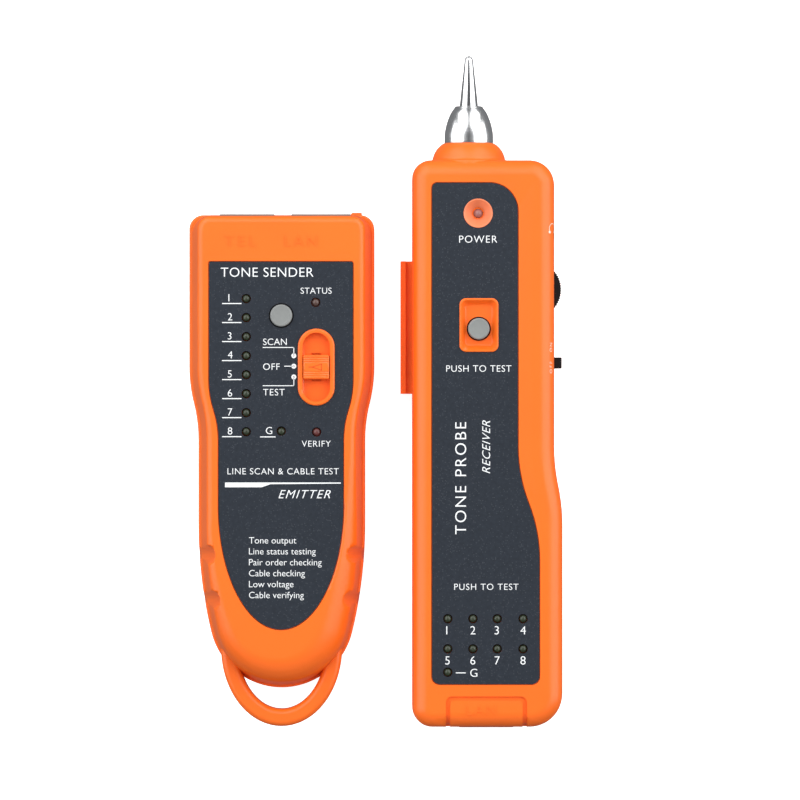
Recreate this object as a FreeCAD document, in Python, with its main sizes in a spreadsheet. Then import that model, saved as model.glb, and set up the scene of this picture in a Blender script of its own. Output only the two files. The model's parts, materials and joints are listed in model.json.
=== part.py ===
import FreeCAD, Part
import math
import os
import re

import Sketcher
from FreeCAD import Placement, Rotation, Vector

# Tone probe kit: a tone sender (the emitter) and its listening probe (the receiver), lying on their
# backs side by side. +X is to the right, +Y towards the sockets and the probe tip, +Z towards the
# faces. The origin is under the middle of the kit, on the surface that it lies on.

doc = FreeCAD.newDocument("ToneProbeKit")
sheet = doc.addObject("Spreadsheet::Sheet", "Sizes")

SIZES = {
    # both units
    "wall": 2.2,                # shell wall
    "split_height": 16.0,       # parting plane between back and front shell
    "face_height": 31.0,        # front face of the shells
    "back_round": 4.0,          # edge radius round the back
    "panel_recess": 0.9,        # depth of the pocket for the label panel
    "panel_thick": 0.8,
    "panel_gap": 0.3,           # shadow gap round the panel
    "board_under": 22.8,        # underside of the circuit board
    "board_thick": 1.6,
    "lens_radius": 1.45,        # 3 mm light-emitting diodes
    "lens_gap": 0.08,
    "screw_radius": 1.2,
    "screw_head_radius": 2.4,
    "boss_radius": 3.3,
    # emitter
    "emitter_x": -30.85,
    "emitter_top": 57.7,
    "emitter_bottom": -97.1,
    "emitter_half_width": 30.3,
    "emitter_waist": 27.3,
    "emitter_front_inset": 0.7, # step from the back shell in to the front shell
    "emitter_draft": 2.6,       # how far its walls lean in on their way up to the face
    "emitter_front_round": 2.2,
    "emitter_end_round": 12.0,
    "emitter_screw_x": 20.5,
    "slider_x": 11.5,
    "slider_y": 7.8,
    "slider_travel": 3.5,       # either way from the middle
    "button_x": 0.1,
    "button_y": 24.6,
    "button_radius": 3.6,
    "loop_width": 19.8,         # half width of the hanging loop
    "loop_band": 5.6,
    "loop_low": 11.0,
    "loop_thick": 10.0,
    # dock: a T rail on the receiver runs in a T groove in the emitter
    "dock_height": 8.5,
    "rail_flange": 10.4,
    "rail_flange_thick": 1.7,
    "rail_web": 5.8,
    "rail_web_length": 2.1,
    "rail_low": -0.9,
    "rail_high": 42.6,
    "groove_low": 9.1,
    "groove_lip": 1.8,
    "groove_gap": 0.3,
    # receiver
    "receiver_x": 35.15,
    "receiver_top": 75.6,
    "receiver_bottom": -109.8,
    "receiver_half_width": 23.3,
    "receiver_foot": 26.0,      # right side of the wide lower part
    "receiver_front_round": 5.0,
    "receiver_screw_x": 19.2,
    "probe_x": -4.7,
    "nozzle_end": 81.1,
    "collar_radius": 8.0,
    "collar_end": 93.3,
    "tip_end": 109.8,
    "tip_radius": 3.0,
    "shank_radius": 5.0,
    "test_x": -1.6,
    "test_y": 20.3,
    "test_radius": 3.5,
    "power_x": -1.8,
    "power_y": 57.9,
    "wheel_x": 16.0,
    "wheel_y": 33.2,
    "wheel_radius": 9.6,
    "wheel_low": 17.2,
    "wheel_thick": 3.6,
    "lamp_switch_y": 9.2,
    "lamp_travel": 2.5,
    "lamp_x": 13.2,
    "phones_y": 52.9,
    "phones_radius": 1.75,
    # 9 V block battery and its door
    "battery_half_width": 13.2,
    "battery_low": 2.6,
    "battery_thick": 17.5,
    "battery_foot": -86.0,
    "battery_length": 45.8,
    "door_half_width": 14.4,
    "door_tongue": 1.0,
    "door_top": -33.0,
    "door_thick": 7.0,
    "door_gap": 0.15,
}

for row, (alias, number) in enumerate(SIZES.items(), 1):
    sheet.set(f"A{row}", alias.replace("_", " "))
    sheet.set(f"B{row}", str(number))
    sheet.setAlias(f"B{row}", alias)
doc.recompute()

NODES = {}


def size(alias):
    """A named size, read from the sheet."""
    return float(sheet.get(alias))


def cells(expression):
    """The expression with each named size written as a cell of the sheet."""
    return re.sub(r"[a-z_]{4,}", lambda word: "Sizes." + word.group(0), str(expression))


def put(item, x=0, y=0, z=0, turn=None):
    """Place an object, with each coordinate bound to the sheet."""
    if turn:
        item.Placement = Placement(Vector(), turn)
    for axis, expression in zip("xyz", (x, y, z)):
        item.setExpression("Placement.Base." + axis, cells(expression))
    return item


def bind(item, **expressions):
    for name, expression in expressions.items():
        item.setExpression(name, cells(expression))
    return item


def node(item, label, unit):
    """Name a finished sub-part and move it to its unit's place."""
    item.Label = label
    put(item, x=unit + "_x")
    NODES[label] = item
    return item


# ---- primitives and booleans ----

TURNS = {
    "x": Rotation(Vector(0, 1, 0), 90),
    "y": Rotation(Vector(1, 0, 0), -90),
    "z": Rotation(),
}


def block(x, y, z):
    """Box between pairs of coordinates."""
    box = bind(doc.addObject("Part::Box", "block"), Length=f"({x[1]}) - ({x[0]})",
               Width=f"({y[1]}) - ({y[0]})", Height=f"({z[1]}) - ({z[0]})")
    return put(box, x[0], y[0], z[0])


def rod(x, y, z, radius, length, along="z"):
    """Cylinder that starts at a point and runs along an axis."""
    cylinder = bind(doc.addObject("Part::Cylinder", "rod"), Radius=radius, Height=length)
    return put(cylinder, x, y, z, TURNS[along])


def cone(x, y, z, low_radius, high_radius, length, along="z"):
    taper = bind(doc.addObject("Part::Cone", "cone"), Radius1=low_radius, Radius2=high_radius, Height=length)
    return put(taper, x, y, z, TURNS[along])


def ball(x, y, z, radius):
    return put(bind(doc.addObject("Part::Sphere", "ball"), Radius=radius), x, y, z)


def join(*parts):
    fuse = doc.addObject("Part::MultiFuse", "join")
    fuse.Shapes = list(parts)
    fuse.Refine = True
    return fuse


def cut(base, *tools):
    result = doc.addObject("Part::Cut", "cut")
    result.Base = base
    result.Tool = tools[0] if len(tools) == 1 else join(*tools)
    return result


def common(first, second):
    result = doc.addObject("Part::MultiCommon", "common")
    result.Shapes = [first, second]
    return result


def rounded(base, radius, chosen):
    """Fillet the edges that the chosen(edge) test keeps; radius may be a function of y."""
    doc.recompute()
    fillet = doc.addObject("Part::Fillet", "rounded")
    fillet.Base = base
    edges = []
    for number, edge in enumerate(base.Shape.Edges, 1):
        if chosen(edge):
            ends = [edge.valueAt(edge.FirstParameter).y, edge.valueAt(edge.LastParameter).y]
            radii = [radius(end) if callable(radius) else radius for end in ends]
            edges.append((number, radii[0], radii[1]))
    fillet.Edges = edges
    return fillet


def level(height):
    """Test for edges that lie flat at a height."""
    return lambda edge: abs(edge.BoundBox.ZMin - height) < 1e-4 and abs(edge.BoundBox.ZMax - height) < 1e-4


# ---- outlines: lines and arcs in the XY plane, each made smaller by an inset ----

def line(x0, y0, x1, y1):
    return Part.LineSegment(Vector(x0, y0, 0), Vector(x1, y1, 0))


def arc(x, y, radius, start, end):
    """Arc about a centre, from one angle to another in degrees, through the middle one."""
    turns = [math.radians(angle) for angle in (start, (start + end) / 2, end)]
    return Part.Arc(*[Vector(x + radius * math.cos(turn), y + radius * math.sin(turn), 0) for turn in turns])


def side_step(x0, y0, x1, y1, inset):
    """Two tangent arcs that move a right-hand side from x0 to x1 on its way down."""
    run, drop = abs(x1 - x0) / 2, (y0 - y1) / 2
    radius = (run * run + drop * drop) / (2 * run)
    swing = math.degrees(math.asin(drop / radius))
    if x1 < x0:
        return [arc(x0 - radius, y0, radius - inset, 0, -swing),
                arc(x1 + radius, y1, radius + inset, 180 - swing, 180)]
    return [arc(x0 + radius, y0, radius + inset, 180, 180 + swing),
            arc(x1 - radius, y1, radius - inset, swing, 0)]


def mirrored(curves):
    """The lines and arcs with their mirror images across the Y axis."""
    copies = []
    for curve in curves:
        middle = (curve.FirstParameter + curve.LastParameter) / 2
        points = [curve.value(place) for place in (curve.FirstParameter, middle, curve.LastParameter)]
        start, through, end = [Vector(-point.x, point.y, 0) for point in points]
        straight = isinstance(curve, Part.LineSegment)
        copies.append(Part.LineSegment(start, end) if straight else Part.Arc(start, through, end))
    return curves + copies


SHOULDER, WAIST_START, HIP = 8.0, -16.0, -43.7   # where the emitter's side bends
HIP_RADIUS = 150.0


def emitter_outline(inset, corner, top_inset=None):
    """The top side may have an inset of its own."""
    top, bottom = size("emitter_top"), size("emitter_bottom")
    top_inset = inset if top_inset is None else top_inset
    turn_y = top - top_inset - corner + inset
    half, waist = size("emitter_half_width"), size("emitter_waist")
    # the bottom arc is tangent to the two long hip arcs
    drop = HIP - bottom
    end_radius = (2 * HIP_RADIUS * waist - waist ** 2 - drop ** 2) / (2 * (HIP_RADIUS - drop))
    end_y = bottom + end_radius
    swing = math.degrees(math.atan2(HIP - end_y, HIP_RADIUS - waist))
    right = [arc(half - corner, turn_y, corner - inset, 90, 0),
             line(half - inset, turn_y, half - inset, SHOULDER),
             *side_step(half, SHOULDER, waist, WAIST_START, inset),
             line(waist - inset, WAIST_START, waist - inset, HIP),
             arc(waist - HIP_RADIUS, HIP, HIP_RADIUS - inset, 0, -swing)]
    ends = [line(-(half - corner), top - top_inset, half - corner, top - top_inset),
            arc(0, end_y, end_radius - inset, swing - 180, -swing)]
    return mirrored(right) + ends


def emitter_panel_outline(inset):
    half, low, top, corner = 23.7, 20.6, 42.4, 0.9
    straight_end, foot = -37.5, -77.9
    right = [arc(half - corner, top - corner, corner - inset, 90, 0),
             line(half - inset, top - corner, half - inset, 3.6),
             *side_step(half, 3.6, low, WAIST_START, inset),
             line(low - inset, WAIST_START, low - inset, straight_end)]
    ellipse = Part.Ellipse(Vector(0, foot + inset, 0), Vector(low - inset, straight_end, 0),
                           Vector(0, straight_end, 0))
    ends = [line(-(half - corner), top - inset, half - corner, top - inset),
            Part.ArcOfEllipse(ellipse, -math.pi / 2, math.pi / 2)]
    return mirrored(right) + ends


def loop_outline(inset):
    """Half ellipse with straight legs that end inside the shells."""
    half, centre, legs = size("loop_width") - inset, -84.0, -80.0
    foot = centre - 25.6 + inset
    ellipse = Part.Ellipse(Vector(0, foot, 0), Vector(half, centre, 0), Vector(0, centre, 0))
    return half, centre, legs, Part.ArcOfEllipse(ellipse, -math.pi / 2, math.pi / 2)


BULGE_START, BULGE_END = -18.0, -44.0     # where the receiver's right side swells
FRONT_STEP = 0.3                          # step from its back shell in to its front shell


def receiver_outline(inset):
    top, bottom = size("receiver_top"), size("receiver_bottom")
    half, foot = size("receiver_half_width"), size("receiver_foot")
    top_left, top_right, low_right, low_left = 6.0, 8.2, 11.0, 6.5
    return [line(-half + top_left, top - inset, half - top_right, top - inset),
            arc(half - top_right, top - top_right, top_right - inset, 90, 0),
            line(half - inset, top - top_right, half - inset, BULGE_START),
            *side_step(half, BULGE_START, foot, BULGE_END, inset),
            line(foot - inset, BULGE_END, foot - inset, bottom + low_right),
            arc(foot - low_right, bottom + low_right, low_right - inset, 0, -90),
            line(foot - low_right, bottom + inset, -half + low_left, bottom + inset),
            arc(-half + low_left, bottom + low_left, low_left - inset, -90, -180),
            line(-half + inset, bottom + low_left, -half + inset, top - top_left),
            arc(-half + top_left, top - top_left, top_left - inset, 180, 90)]


def receiver_panel_outline(inset):
    left, right, foot_right, top, foot = -17.1, 11.4, 18.4, 68.1, -95.7
    small, low, large = 2.0, 2.8, 9.5
    return [line(left + small, top - inset, right - large, top - inset),
            arc(right - large, top - large, large - inset, 90, 0),
            line(right - inset, top - large, right - inset, BULGE_START),
            *side_step(right, BULGE_START, foot_right, -55.0, inset),
            line(foot_right - inset, -55.0, foot_right - inset, foot + low),
            arc(foot_right - low, foot + low, low - inset, 0, -90),
            line(foot_right - low, foot + inset, left + low, foot + inset),
            arc(left + low, foot + low, low - inset, -90, -180),
            line(left + inset, foot + low, left + inset, top - small),
            arc(left + small, top - small, small - inset, 180, 90)]


def round_slot(x, y, width, length, corner):
    """Upright rectangle with round corners; a stadium when the corner is half the width."""
    half, tall = width / 2 - corner, length / 2 - corner
    sides = [arc(x + half, y + tall, corner, 90, 0), arc(x + half, y - tall, corner, 0, -90),
             arc(x - half, y - tall, corner, -90, -180), arc(x - half, y + tall, corner, 180, 90),
             line(x + half + corner, y + tall, x + half + corner, y - tall),
             line(x - half - corner, y + tall, x - half - corner, y - tall)]
    if half > 1e-6:
        sides += [line(x - half, y + tall + corner, x + half, y + tall + corner),
                  line(x - half, y - tall - corner, x + half, y - tall - corner)]
    return sides


def drawing_at(curves, height):
    """Sketch of closed curves at a height."""
    drawing = put(doc.addObject("Sketcher::SketchObject", "drawing"), z=height)
    drawing.addGeometry(curves, False)
    return drawing


def drafted(low_curves, high_curves, low, high):
    """Solid with straight leaning walls from one outline up to another with as many curves."""
    solid = doc.addObject("Part::Loft", "drafted")
    solid.Sections = [drawing_at(low_curves, low), drawing_at(high_curves, high)]
    solid.Solid = True
    solid.Ruled = True
    return solid


def prism(curves, low, high):
    """Sketch of closed curves at a height, extruded up to another."""
    drawing = drawing_at(curves, low)
    solid = bind(doc.addObject("Part::Extrusion", "prism"), LengthFwd=f"({high}) - ({low})")
    solid.Base = drawing
    solid.DirMode = "Normal"
    solid.Solid = True
    return solid


# ---- PartDesign helpers ----

def design(label, unit):
    body = doc.addObject("PartDesign::Body", label)
    return node(body, label, unit)


def body_sketch(body, curves, role="XY_Plane", offset=0):
    plane = next(item for item in body.Origin.OriginFeatures if item.Role == role)
    drawing = body.newObject("Sketcher::SketchObject", "drawing")
    drawing.AttachmentSupport = [(plane, "")]
    drawing.MapMode = "FlatFace"
    drawing.setExpression("AttachmentOffset.Base.z", cells(offset))
    drawing.addGeometry(curves, False)
    return drawing


def circle_sketch(body, radius, offset=0, x=0, y=0):
    """Sketch of one circle whose radius and centre are bound to the sheet."""
    drawing = body_sketch(body, [Part.Circle(Vector(1, 1, 0), Vector(0, 0, 1), 1)], offset=offset)
    constraints = [("Radius", 0), ("DistanceX", 0, 3), ("DistanceY", 0, 3)]
    for number, (constraint, value) in enumerate(zip(constraints, (radius, x, y))):
        drawing.addConstraint(Sketcher.Constraint(*constraint, 1))
        drawing.setExpression(f"Constraints[{number}]", cells(value))
    return drawing


def pad(body, drawing, length):
    feature = bind(body.newObject("PartDesign::Pad", "pad"), Length=length)
    feature.Profile = drawing
    return feature


def pocket(body, drawing, length):
    """Cut upwards from the sketch."""
    feature = bind(body.newObject("PartDesign::Pocket", "pocket"), Length=length)
    feature.Profile = drawing
    feature.Reversed = True
    return feature


def turned(body, drawing):
    """Revolve a half profile about the sketch's upright axis."""
    feature = body.newObject("PartDesign::Revolution", "turned")
    feature.Profile = drawing
    feature.ReferenceAxis = (drawing, ["V_Axis"])
    feature.Angle = 360
    return feature


def soften(body, radius, chosen):
    """Fillet edges of the body's tip."""
    doc.recompute()
    names = [f"Edge{number}" for number, edge in enumerate(body.Tip.Shape.Edges, 1) if chosen(edge)]
    base = body.Tip
    feature = bind(body.newObject("PartDesign::Fillet", "soften"), Radius=radius)
    feature.Base = (base, names)
    return feature


# ---- shells ----

def emitter_round(shallow, deep):
    """Edge radius that grows from the waist down to the rounded end."""
    bottom = size("emitter_bottom")

    def radius(y):
        share = min(max((WAIST_START - y) / (WAIST_START - bottom), 0), 1)
        return shallow + (deep - shallow) * share
    return radius


def bosses(places, low, high):
    return [rod(x, y, low, "boss_radius", f"({high}) - ({low})") for x, y in places]


EMITTER_SCREWS = [(sign + "emitter_screw_x", y) for sign in ("-", "") for y in (34.0, -46.0)]
RECEIVER_SCREWS = [(sign + "receiver_screw_x", y) for sign in ("-", "") for y in (62.0, -24.0, -96.0)]
CEILING = "(face_height - wall)"
RECESS = "(face_height - panel_recess)"
BOARD_TOP = "(board_under + board_thick)"


def door_space(gap, bottom):
    """The battery door's outline: a plate with a tongue along each side, open at the foot."""
    plate, tongue = f"door_half_width + {gap}", f"door_half_width + door_tongue + {gap}"
    top = f"door_top + {gap}"
    return join(block((f"-({plate})", plate), (bottom, top), (-1, f"door_thick + {gap}")),
                block((f"-({tongue})", tongue), (bottom, top), (f"1.3 - {gap} / 2", f"wall + {gap}")))


def screw_holes(places):
    tools = []
    for x, y in places:
        tools.append(rod(x, y, -1, "screw_head_radius + 0.15", 4.0))
        tools.append(rod(x, y, 2.5, "screw_radius + 0.12", "split_height - 2"))
    return tools


def pilot_holes(places):
    return [rod(x, y, 15, "screw_radius", 10.5) for x, y in places]


JACKS = {"tel": (-11.25, 17.7, 9.8), "lan": (12.95, 19.3, 11.9)}   # middle, bezel width, plug width
JACK_LOW, JACK_HIGH = 9.2, 22.8
BEZEL = 0.8          # how far a bezel stands out past the jack all round


def bezel_space(x, width, y0, y1):
    return block((x - width / 2, x + width / 2), (y0, y1), (JACK_LOW - BEZEL, JACK_HIGH + BEZEL))


GRIP_RADIUS, GRIP_DEPTH, GRIP_LEAN = 3.6, 1.0, 17.0
GRIPS = [(-53.4, 27.0), (-68.2, 25.4)]    # place down the side, and the outline's half width there
GRIP_LOW, GRIP_LENGTH = 8.0, 30.0


def grip_grooves(skin=0):
    """Four leaning grooves low on the emitter's sides, or the material that lines them."""
    slope = math.tan(math.radians(GRIP_LEAN))
    reach = GRIP_RADIUS - GRIP_DEPTH + (size("split_height") - GRIP_LOW) * slope
    grooves = []
    for y, half in GRIPS:
        for side in (-1, 1):
            groove = rod(side * (half + reach), y, GRIP_LOW, GRIP_RADIUS + skin, GRIP_LENGTH)
            groove.Placement.Rotation = Rotation(Vector(0, 1, 0), -side * GRIP_LEAN)
            grooves.append(groove)
    return grooves


SLIDER_RIM = (12.0, 25.1, 6.0)      # width, length and corner of the rim round the slider
SLIDER_DISH = (9.0, 22.5, 4.5)
SLIDER_FLOOR = 2.0                  # how far the dish lies below the face
SLIDER_RISE = 0.7                   # how far the rim stands above it
FRONT_CORNER, BACK_CORNER = 7.2, 4.6
TOP_INSET = 0.8                     # the top wall leans in less than the sides


def emitter_front(skin, low, high, shallow, deep):
    """The front shell's outside, or its hollow when there is a skin to leave."""
    inset, lean = size("emitter_front_inset") + skin, size("emitter_draft")
    solid = drafted(emitter_outline(inset, FRONT_CORNER + skin / 2, skin),
                    emitter_outline(inset + lean, FRONT_CORNER + skin / 2, TOP_INSET + skin), low, high)
    return rounded(solid, emitter_round(shallow, deep), level(size("face_height") - skin))


def build_emitter_front():
    skin, front_round, end_round = size("wall"), size("emitter_front_round"), size("emitter_end_round")
    outer = emitter_front(0, "split_height", "face_height", front_round, end_round)
    inner = emitter_front(skin, "split_height - 1", CEILING, 1.0, end_round - skin)
    panel = prism(emitter_panel_outline(0), RECESS, "face_height + 1")
    slider = [size("slider_x"), size("slider_y")]
    rim = rounded(prism(round_slot(*slider, *SLIDER_RIM), f"{CEILING} - 0.6", f"face_height + {SLIDER_RISE}"),
                  0.6, level(size("face_height") + SLIDER_RISE))
    dish = prism(round_slot(*slider, *SLIDER_DISH), f"face_height - {SLIDER_FLOOR}", "face_height + 2")
    slit = block(("slider_x - 1.6", "slider_x + 1.6"), ("slider_y - 4.6", "slider_y + 4.6"), (27, 31))
    lens_holes = [rod(x, y, 27, "lens_radius + lens_gap", 5) for x, y in EMITTER_LIGHTS]
    shell = cut(outer, cut(inner, *bosses(EMITTER_SCREWS, 15, CEILING), *grip_grooves(skin)))
    shell = cut(join(cut(shell, panel), rim), dish, slit, *lens_holes, *pilot_holes(EMITTER_SCREWS),
                rod("button_x", "button_y", 27, "button_radius + 0.25", 5),
                *[bezel_space(x, width, 50, 60) for x, width, _ in JACKS.values()],
                *grip_grooves(), loop_solid())
    node(shell, "emitter_front_shell", "emitter")


def emitter_back(skin):
    """The back shell's outside, or its hollow when there is a skin to leave."""
    low, high = ("wall", "split_height + 1") if skin else (0, "split_height")
    solid = prism(emitter_outline(skin, BACK_CORNER), low, high)
    return rounded(solid, emitter_round(size("back_round") - skin, 7.0 - skin), level(skin))


def build_emitter_back():
    skin = size("wall")
    outer = rounded(emitter_back(0), size("emitter_front_inset") - 0.1, level(size("split_height")))
    groove_wall = "emitter_half_width - groove_lip - rail_flange_thick - 2 * groove_gap - 1.9"
    housing = block((groove_wall, "emitter_half_width + 2"), ("groove_low - 2", 60), (0, "split_height"))
    mouth = "rail_web / 2 + groove_gap"
    under_cut = "rail_flange / 2 + groove_gap"
    lip = "emitter_half_width - groove_lip"
    groove = [block((f"{lip} - rail_flange_thick - 2 * groove_gap", lip), ("groove_low", 60),
                    (f"dock_height - {under_cut}", f"dock_height + {under_cut}")),
              block((f"{lip} - 1", "emitter_half_width + 2"), ("groove_low", 60),
                    (f"dock_height - {mouth}", f"dock_height + {mouth}"))]
    stop_rib = block((22.6, 26.8), ("emitter_top - 2", "emitter_top + 0.8"), (4, 14))
    stop_rib = rounded(stop_rib, 0.7, lambda edge: edge.BoundBox.ZLength > 5 and edge.BoundBox.YMin > 58)
    shell = cut(outer, cut(emitter_back(skin), housing, *bosses(EMITTER_SCREWS, 0, "split_height"),
                           *grip_grooves(skin)))
    shell = cut(join(shell, stop_rib), *groove, *grip_grooves(), *screw_holes(EMITTER_SCREWS), loop_solid(),
                *[bezel_space(x, width, 50, 60) for x, width, _ in JACKS.values()],
                door_space("door_gap", -120))
    node(shell, "emitter_back_shell", "emitter")
    build_door("emitter", cut(emitter_back(0), emitter_back(skin)))


def build_door(unit, blank):
    """Battery door: the lower end of the back, with grip ribs across it."""
    ribs = [block((-8, 8), (f"door_top - {4 + 2 * step}", f"door_top - {3.2 + 2 * step}"), (-1, 0.4))
            for step in range(5)]
    door = cut(common(blank, door_space("0", -120)), *ribs)
    node(door, unit + "_battery_door", unit)


def loop_solid():
    """Hanging loop: a band round a half ellipse, its legs held between the shells."""
    half, centre, legs, outside = loop_outline(0)
    inner_half, _, _, inside = loop_outline(size("loop_band"))
    curves = [outside, inside]
    for side in (-1, 1):
        curves += [line(side * half, centre, side * half, legs),
                   line(side * inner_half, centre, side * inner_half, legs),
                   line(side * half, legs, side * inner_half, legs)]
    band = prism(curves, "loop_low", "loop_low + loop_thick")
    low = size("loop_low")
    flat = [level(low), level(low + size("loop_thick"))]
    return rounded(band, 1.8, lambda edge: any(test(edge) for test in flat) and edge.Length > 20)


TEST_RIM, TEST_DISH, TEST_FLOOR = (12.7, 17.5, 2.2), (11.6, 16.4, 1.9), (8.8, 13.4, 1.2)
TEST_DEPTH, TEST_RISE = 1.8, 0.4    # the dish round the test button: below and above the face
POWER_RIM, POWER_CONE = 4.76, 4.5
FLAP_OUTSIDE, FLAP_INSIDE = (26.4, 21.2, 2.1), (23.6, 18.4, 1.3)
FLAP_MIDDLE = (0.9, -110.0)
FLAP_GROOVE = 0.8                   # depth of the groove that outlines the socket's flap


def test_middle():
    return size("test_x") + 0.05, size("test_y") + 1.2


def receiver_front(skin, low, high):
    """The front shell's outside, or the same made smaller by a skin."""
    solid = prism(receiver_outline(FRONT_STEP + skin), low, high)
    return rounded(solid, size("receiver_front_round") - skin, level(size("face_height") - skin))


def receiver_sockets():
    """Room for the earphone jack, the lamp, the probe's shank and the network jack."""
    return [rod(16, "phones_y", "split_height", 3.0, 12, "x"),
            rod("lamp_x", 60, "split_height", 2.55, 20, "y"),
            rod("probe_x", 60, "split_height", "shank_radius", 30, "y"),
            bezel_space(RECEIVER_JACK_X, RECEIVER_BEZEL, -120, -100)]


def flap_groove():
    """Groove of even depth that runs round the flap and over the rounded end."""
    frame = cut(prism(round_slot(*FLAP_MIDDLE, *FLAP_OUTSIDE), "split_height", "face_height + 1"),
                prism(round_slot(*FLAP_MIDDLE, *FLAP_INSIDE), "split_height - 1", "face_height + 2"))
    core = receiver_front(FLAP_GROOVE, "split_height - 1", f"face_height - {FLAP_GROOVE}")
    return cut(frame, core)


def build_receiver_front():
    face = size("face_height")
    outer = receiver_front(0, "split_height", "face_height")
    inner = receiver_front(size("wall"), "split_height - 1", CEILING)
    panel = prism(receiver_panel_outline(0), RECESS, "face_height + 1")
    dish_rim = prism(round_slot(*test_middle(), *TEST_RIM), f"{CEILING} - 0.9", f"face_height + {TEST_RISE}")
    dish_rim = rounded(dish_rim, 0.35, level(face + TEST_RISE))
    dish = drafted(round_slot(*test_middle(), *TEST_FLOOR), round_slot(*test_middle(), *TEST_DISH),
                   f"face_height - {TEST_DEPTH}", "face_height + 0.5")
    dish = rounded(dish, 0.8, level(face - TEST_DEPTH))
    power_rim = rod("power_x", "power_y", f"{CEILING} - 1.8", POWER_RIM, "wall + 1.78")
    power_cone = cone("power_x", "power_y", "face_height - 2.6", 1.9, POWER_CONE, 2.65)
    lens_holes = [rod(x, y, 26, "lens_radius + lens_gap", 6) for x, y in RECEIVER_LIGHTS + [POWER_LIGHT]]
    half_nozzle = common(nozzle(), block((-30, 30), (60, 90), ("split_height", 40)))
    shell = cut(outer, cut(inner, *bosses(RECEIVER_SCREWS, 15, CEILING)))
    wheel_space = rod("wheel_x", "wheel_y", "wheel_low - 0.4", "wheel_radius + 0.5", "wheel_thick + 0.8")
    switch_slot = block((20, 26), ("lamp_switch_y - 2.1", "lamp_switch_y + lamp_travel + 2.1"), (17.4, 21.2))
    shell = cut(join(cut(shell, panel), dish_rim, power_rim, half_nozzle), dish, power_cone, *lens_holes,
                *pilot_holes(RECEIVER_SCREWS), wheel_space, switch_slot, flap_groove(),
                rod("test_x", "test_y", 26, "test_radius + 0.25", 6), *receiver_sockets())
    node(shell, "receiver_front_shell", "receiver")


def receiver_back(skin):
    """The back shell's outside, or its hollow when there is a skin to leave."""
    low, high = ("wall", "split_height + 1") if skin else (0, "split_height")
    return rounded(prism(receiver_outline(skin), low, high), size("back_round") - skin, level(skin))


def dock_rail():
    """T rail down the receiver's left side."""
    side = "-receiver_half_width"
    return [block((f"{side} - rail_web_length - 0.2", f"{side} + 1"), ("rail_low", "rail_high"),
                  ("dock_height - rail_web / 2", "dock_height + rail_web / 2")),
            block((f"{side} - rail_web_length - rail_flange_thick", f"{side} - rail_web_length"),
                  ("rail_low", "rail_high"),
                  ("dock_height - rail_flange / 2", "dock_height + rail_flange / 2"))]


def speaker_grille():
    """Rings of round holes under the speaker."""
    holes = []
    for ring, count in ((0, 1), (4.0, 6), (8.0, 12)):
        for hole in range(count):
            turn = 2 * math.pi * hole / count
            across, along = ring * math.cos(turn), ring * math.sin(turn)
            holes.append(rod(SPEAKER_X + across, SPEAKER_Y + along, -1, 0.9, 5))
    return holes


def build_receiver_back():
    skin = size("wall")
    half_nozzle = common(nozzle(), block((-30, 30), (60, 90), (0, "split_height")))
    shell = cut(receiver_back(0), cut(receiver_back(skin), *bosses(RECEIVER_SCREWS, 0, "split_height")))
    shell = cut(join(shell, half_nozzle, *dock_rail()), *speaker_grille(), *screw_holes(RECEIVER_SCREWS),
                *receiver_sockets(), door_space("door_gap", -120))
    node(shell, "receiver_back_shell", "receiver")
    build_door("receiver", cut(receiver_back(0), receiver_back(skin)))


def nozzle():
    """Bell-shaped boss that carries the metal collar, turned about the probe's axis."""
    body = doc.addObject("PartDesign::Body", "nozzle")
    put(body, "probe_x", 0, "split_height")
    inner, root, end = size("receiver_top") - size("wall"), size("receiver_top") - 0.4, size("nozzle_end")
    lip, hip, foot = size("collar_radius") + 0.4, 11.8, 13.2
    bell = Part.Arc(Vector(hip, root + 1.2, 0), Vector(10.7, end - 2.2, 0), Vector(lip, end, 0))
    fillet = Part.Arc(Vector(foot, root, 0), Vector(12.2, root + 0.35, 0), Vector(hip, root + 1.2, 0))
    drawing = body_sketch(body, [line(0, inner, foot, inner), line(foot, inner, foot, root), fillet, bell,
                                 line(lip, end, 0, end), line(0, end, 0, inner)])
    turned(body, drawing)
    return body


# ---- lights, switches and buttons on the boards ----

PAIR_PITCH = 6.19
EMITTER_PAIRS = [(-11.3, 30.1 - PAIR_PITCH * number) for number in range(8)] + [(0.1, -13.0)]
STATUS_LIGHT, VERIFY_LIGHT = (11.3, 28.9), (11.6, -13.3)
EMITTER_LIGHTS = EMITTER_PAIRS + [STATUS_LIGHT, VERIFY_LIGHT]
RECEIVER_LIGHTS = [(x, y) for y in (-74.1, -83.9) for x in (-11.7, -3.5, 4.4, 12.8)] + [(-11.7, -91.5)]
POWER_LIGHT = ("power_x", "power_y")
RECEIVER_JACK_X, RECEIVER_BEZEL = 0.9, 17.6
SPEAKER_X, SPEAKER_Y, SPEAKER_RADIUS = -1.0, 4.0, 14.0


def light(x, y, top):
    """Diode with a domed lens, a base flange and two legs down to the board."""
    legs = [rod(f"{x} + {side * 0.9}", y, BOARD_TOP, 0.25, 1.3) for side in (-1, 1)]
    flange = rod(x, y, f"{BOARD_TOP} + 1.2", 1.9, 0.9)
    barrel = rod(x, y, f"{BOARD_TOP} + 1.2", "lens_radius", f"{top} - lens_radius - {BOARD_TOP} - 1.2")
    dome = ball(x, y, f"{top} - lens_radius", "lens_radius")
    return join(*legs, flange, barrel, dome)


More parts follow.
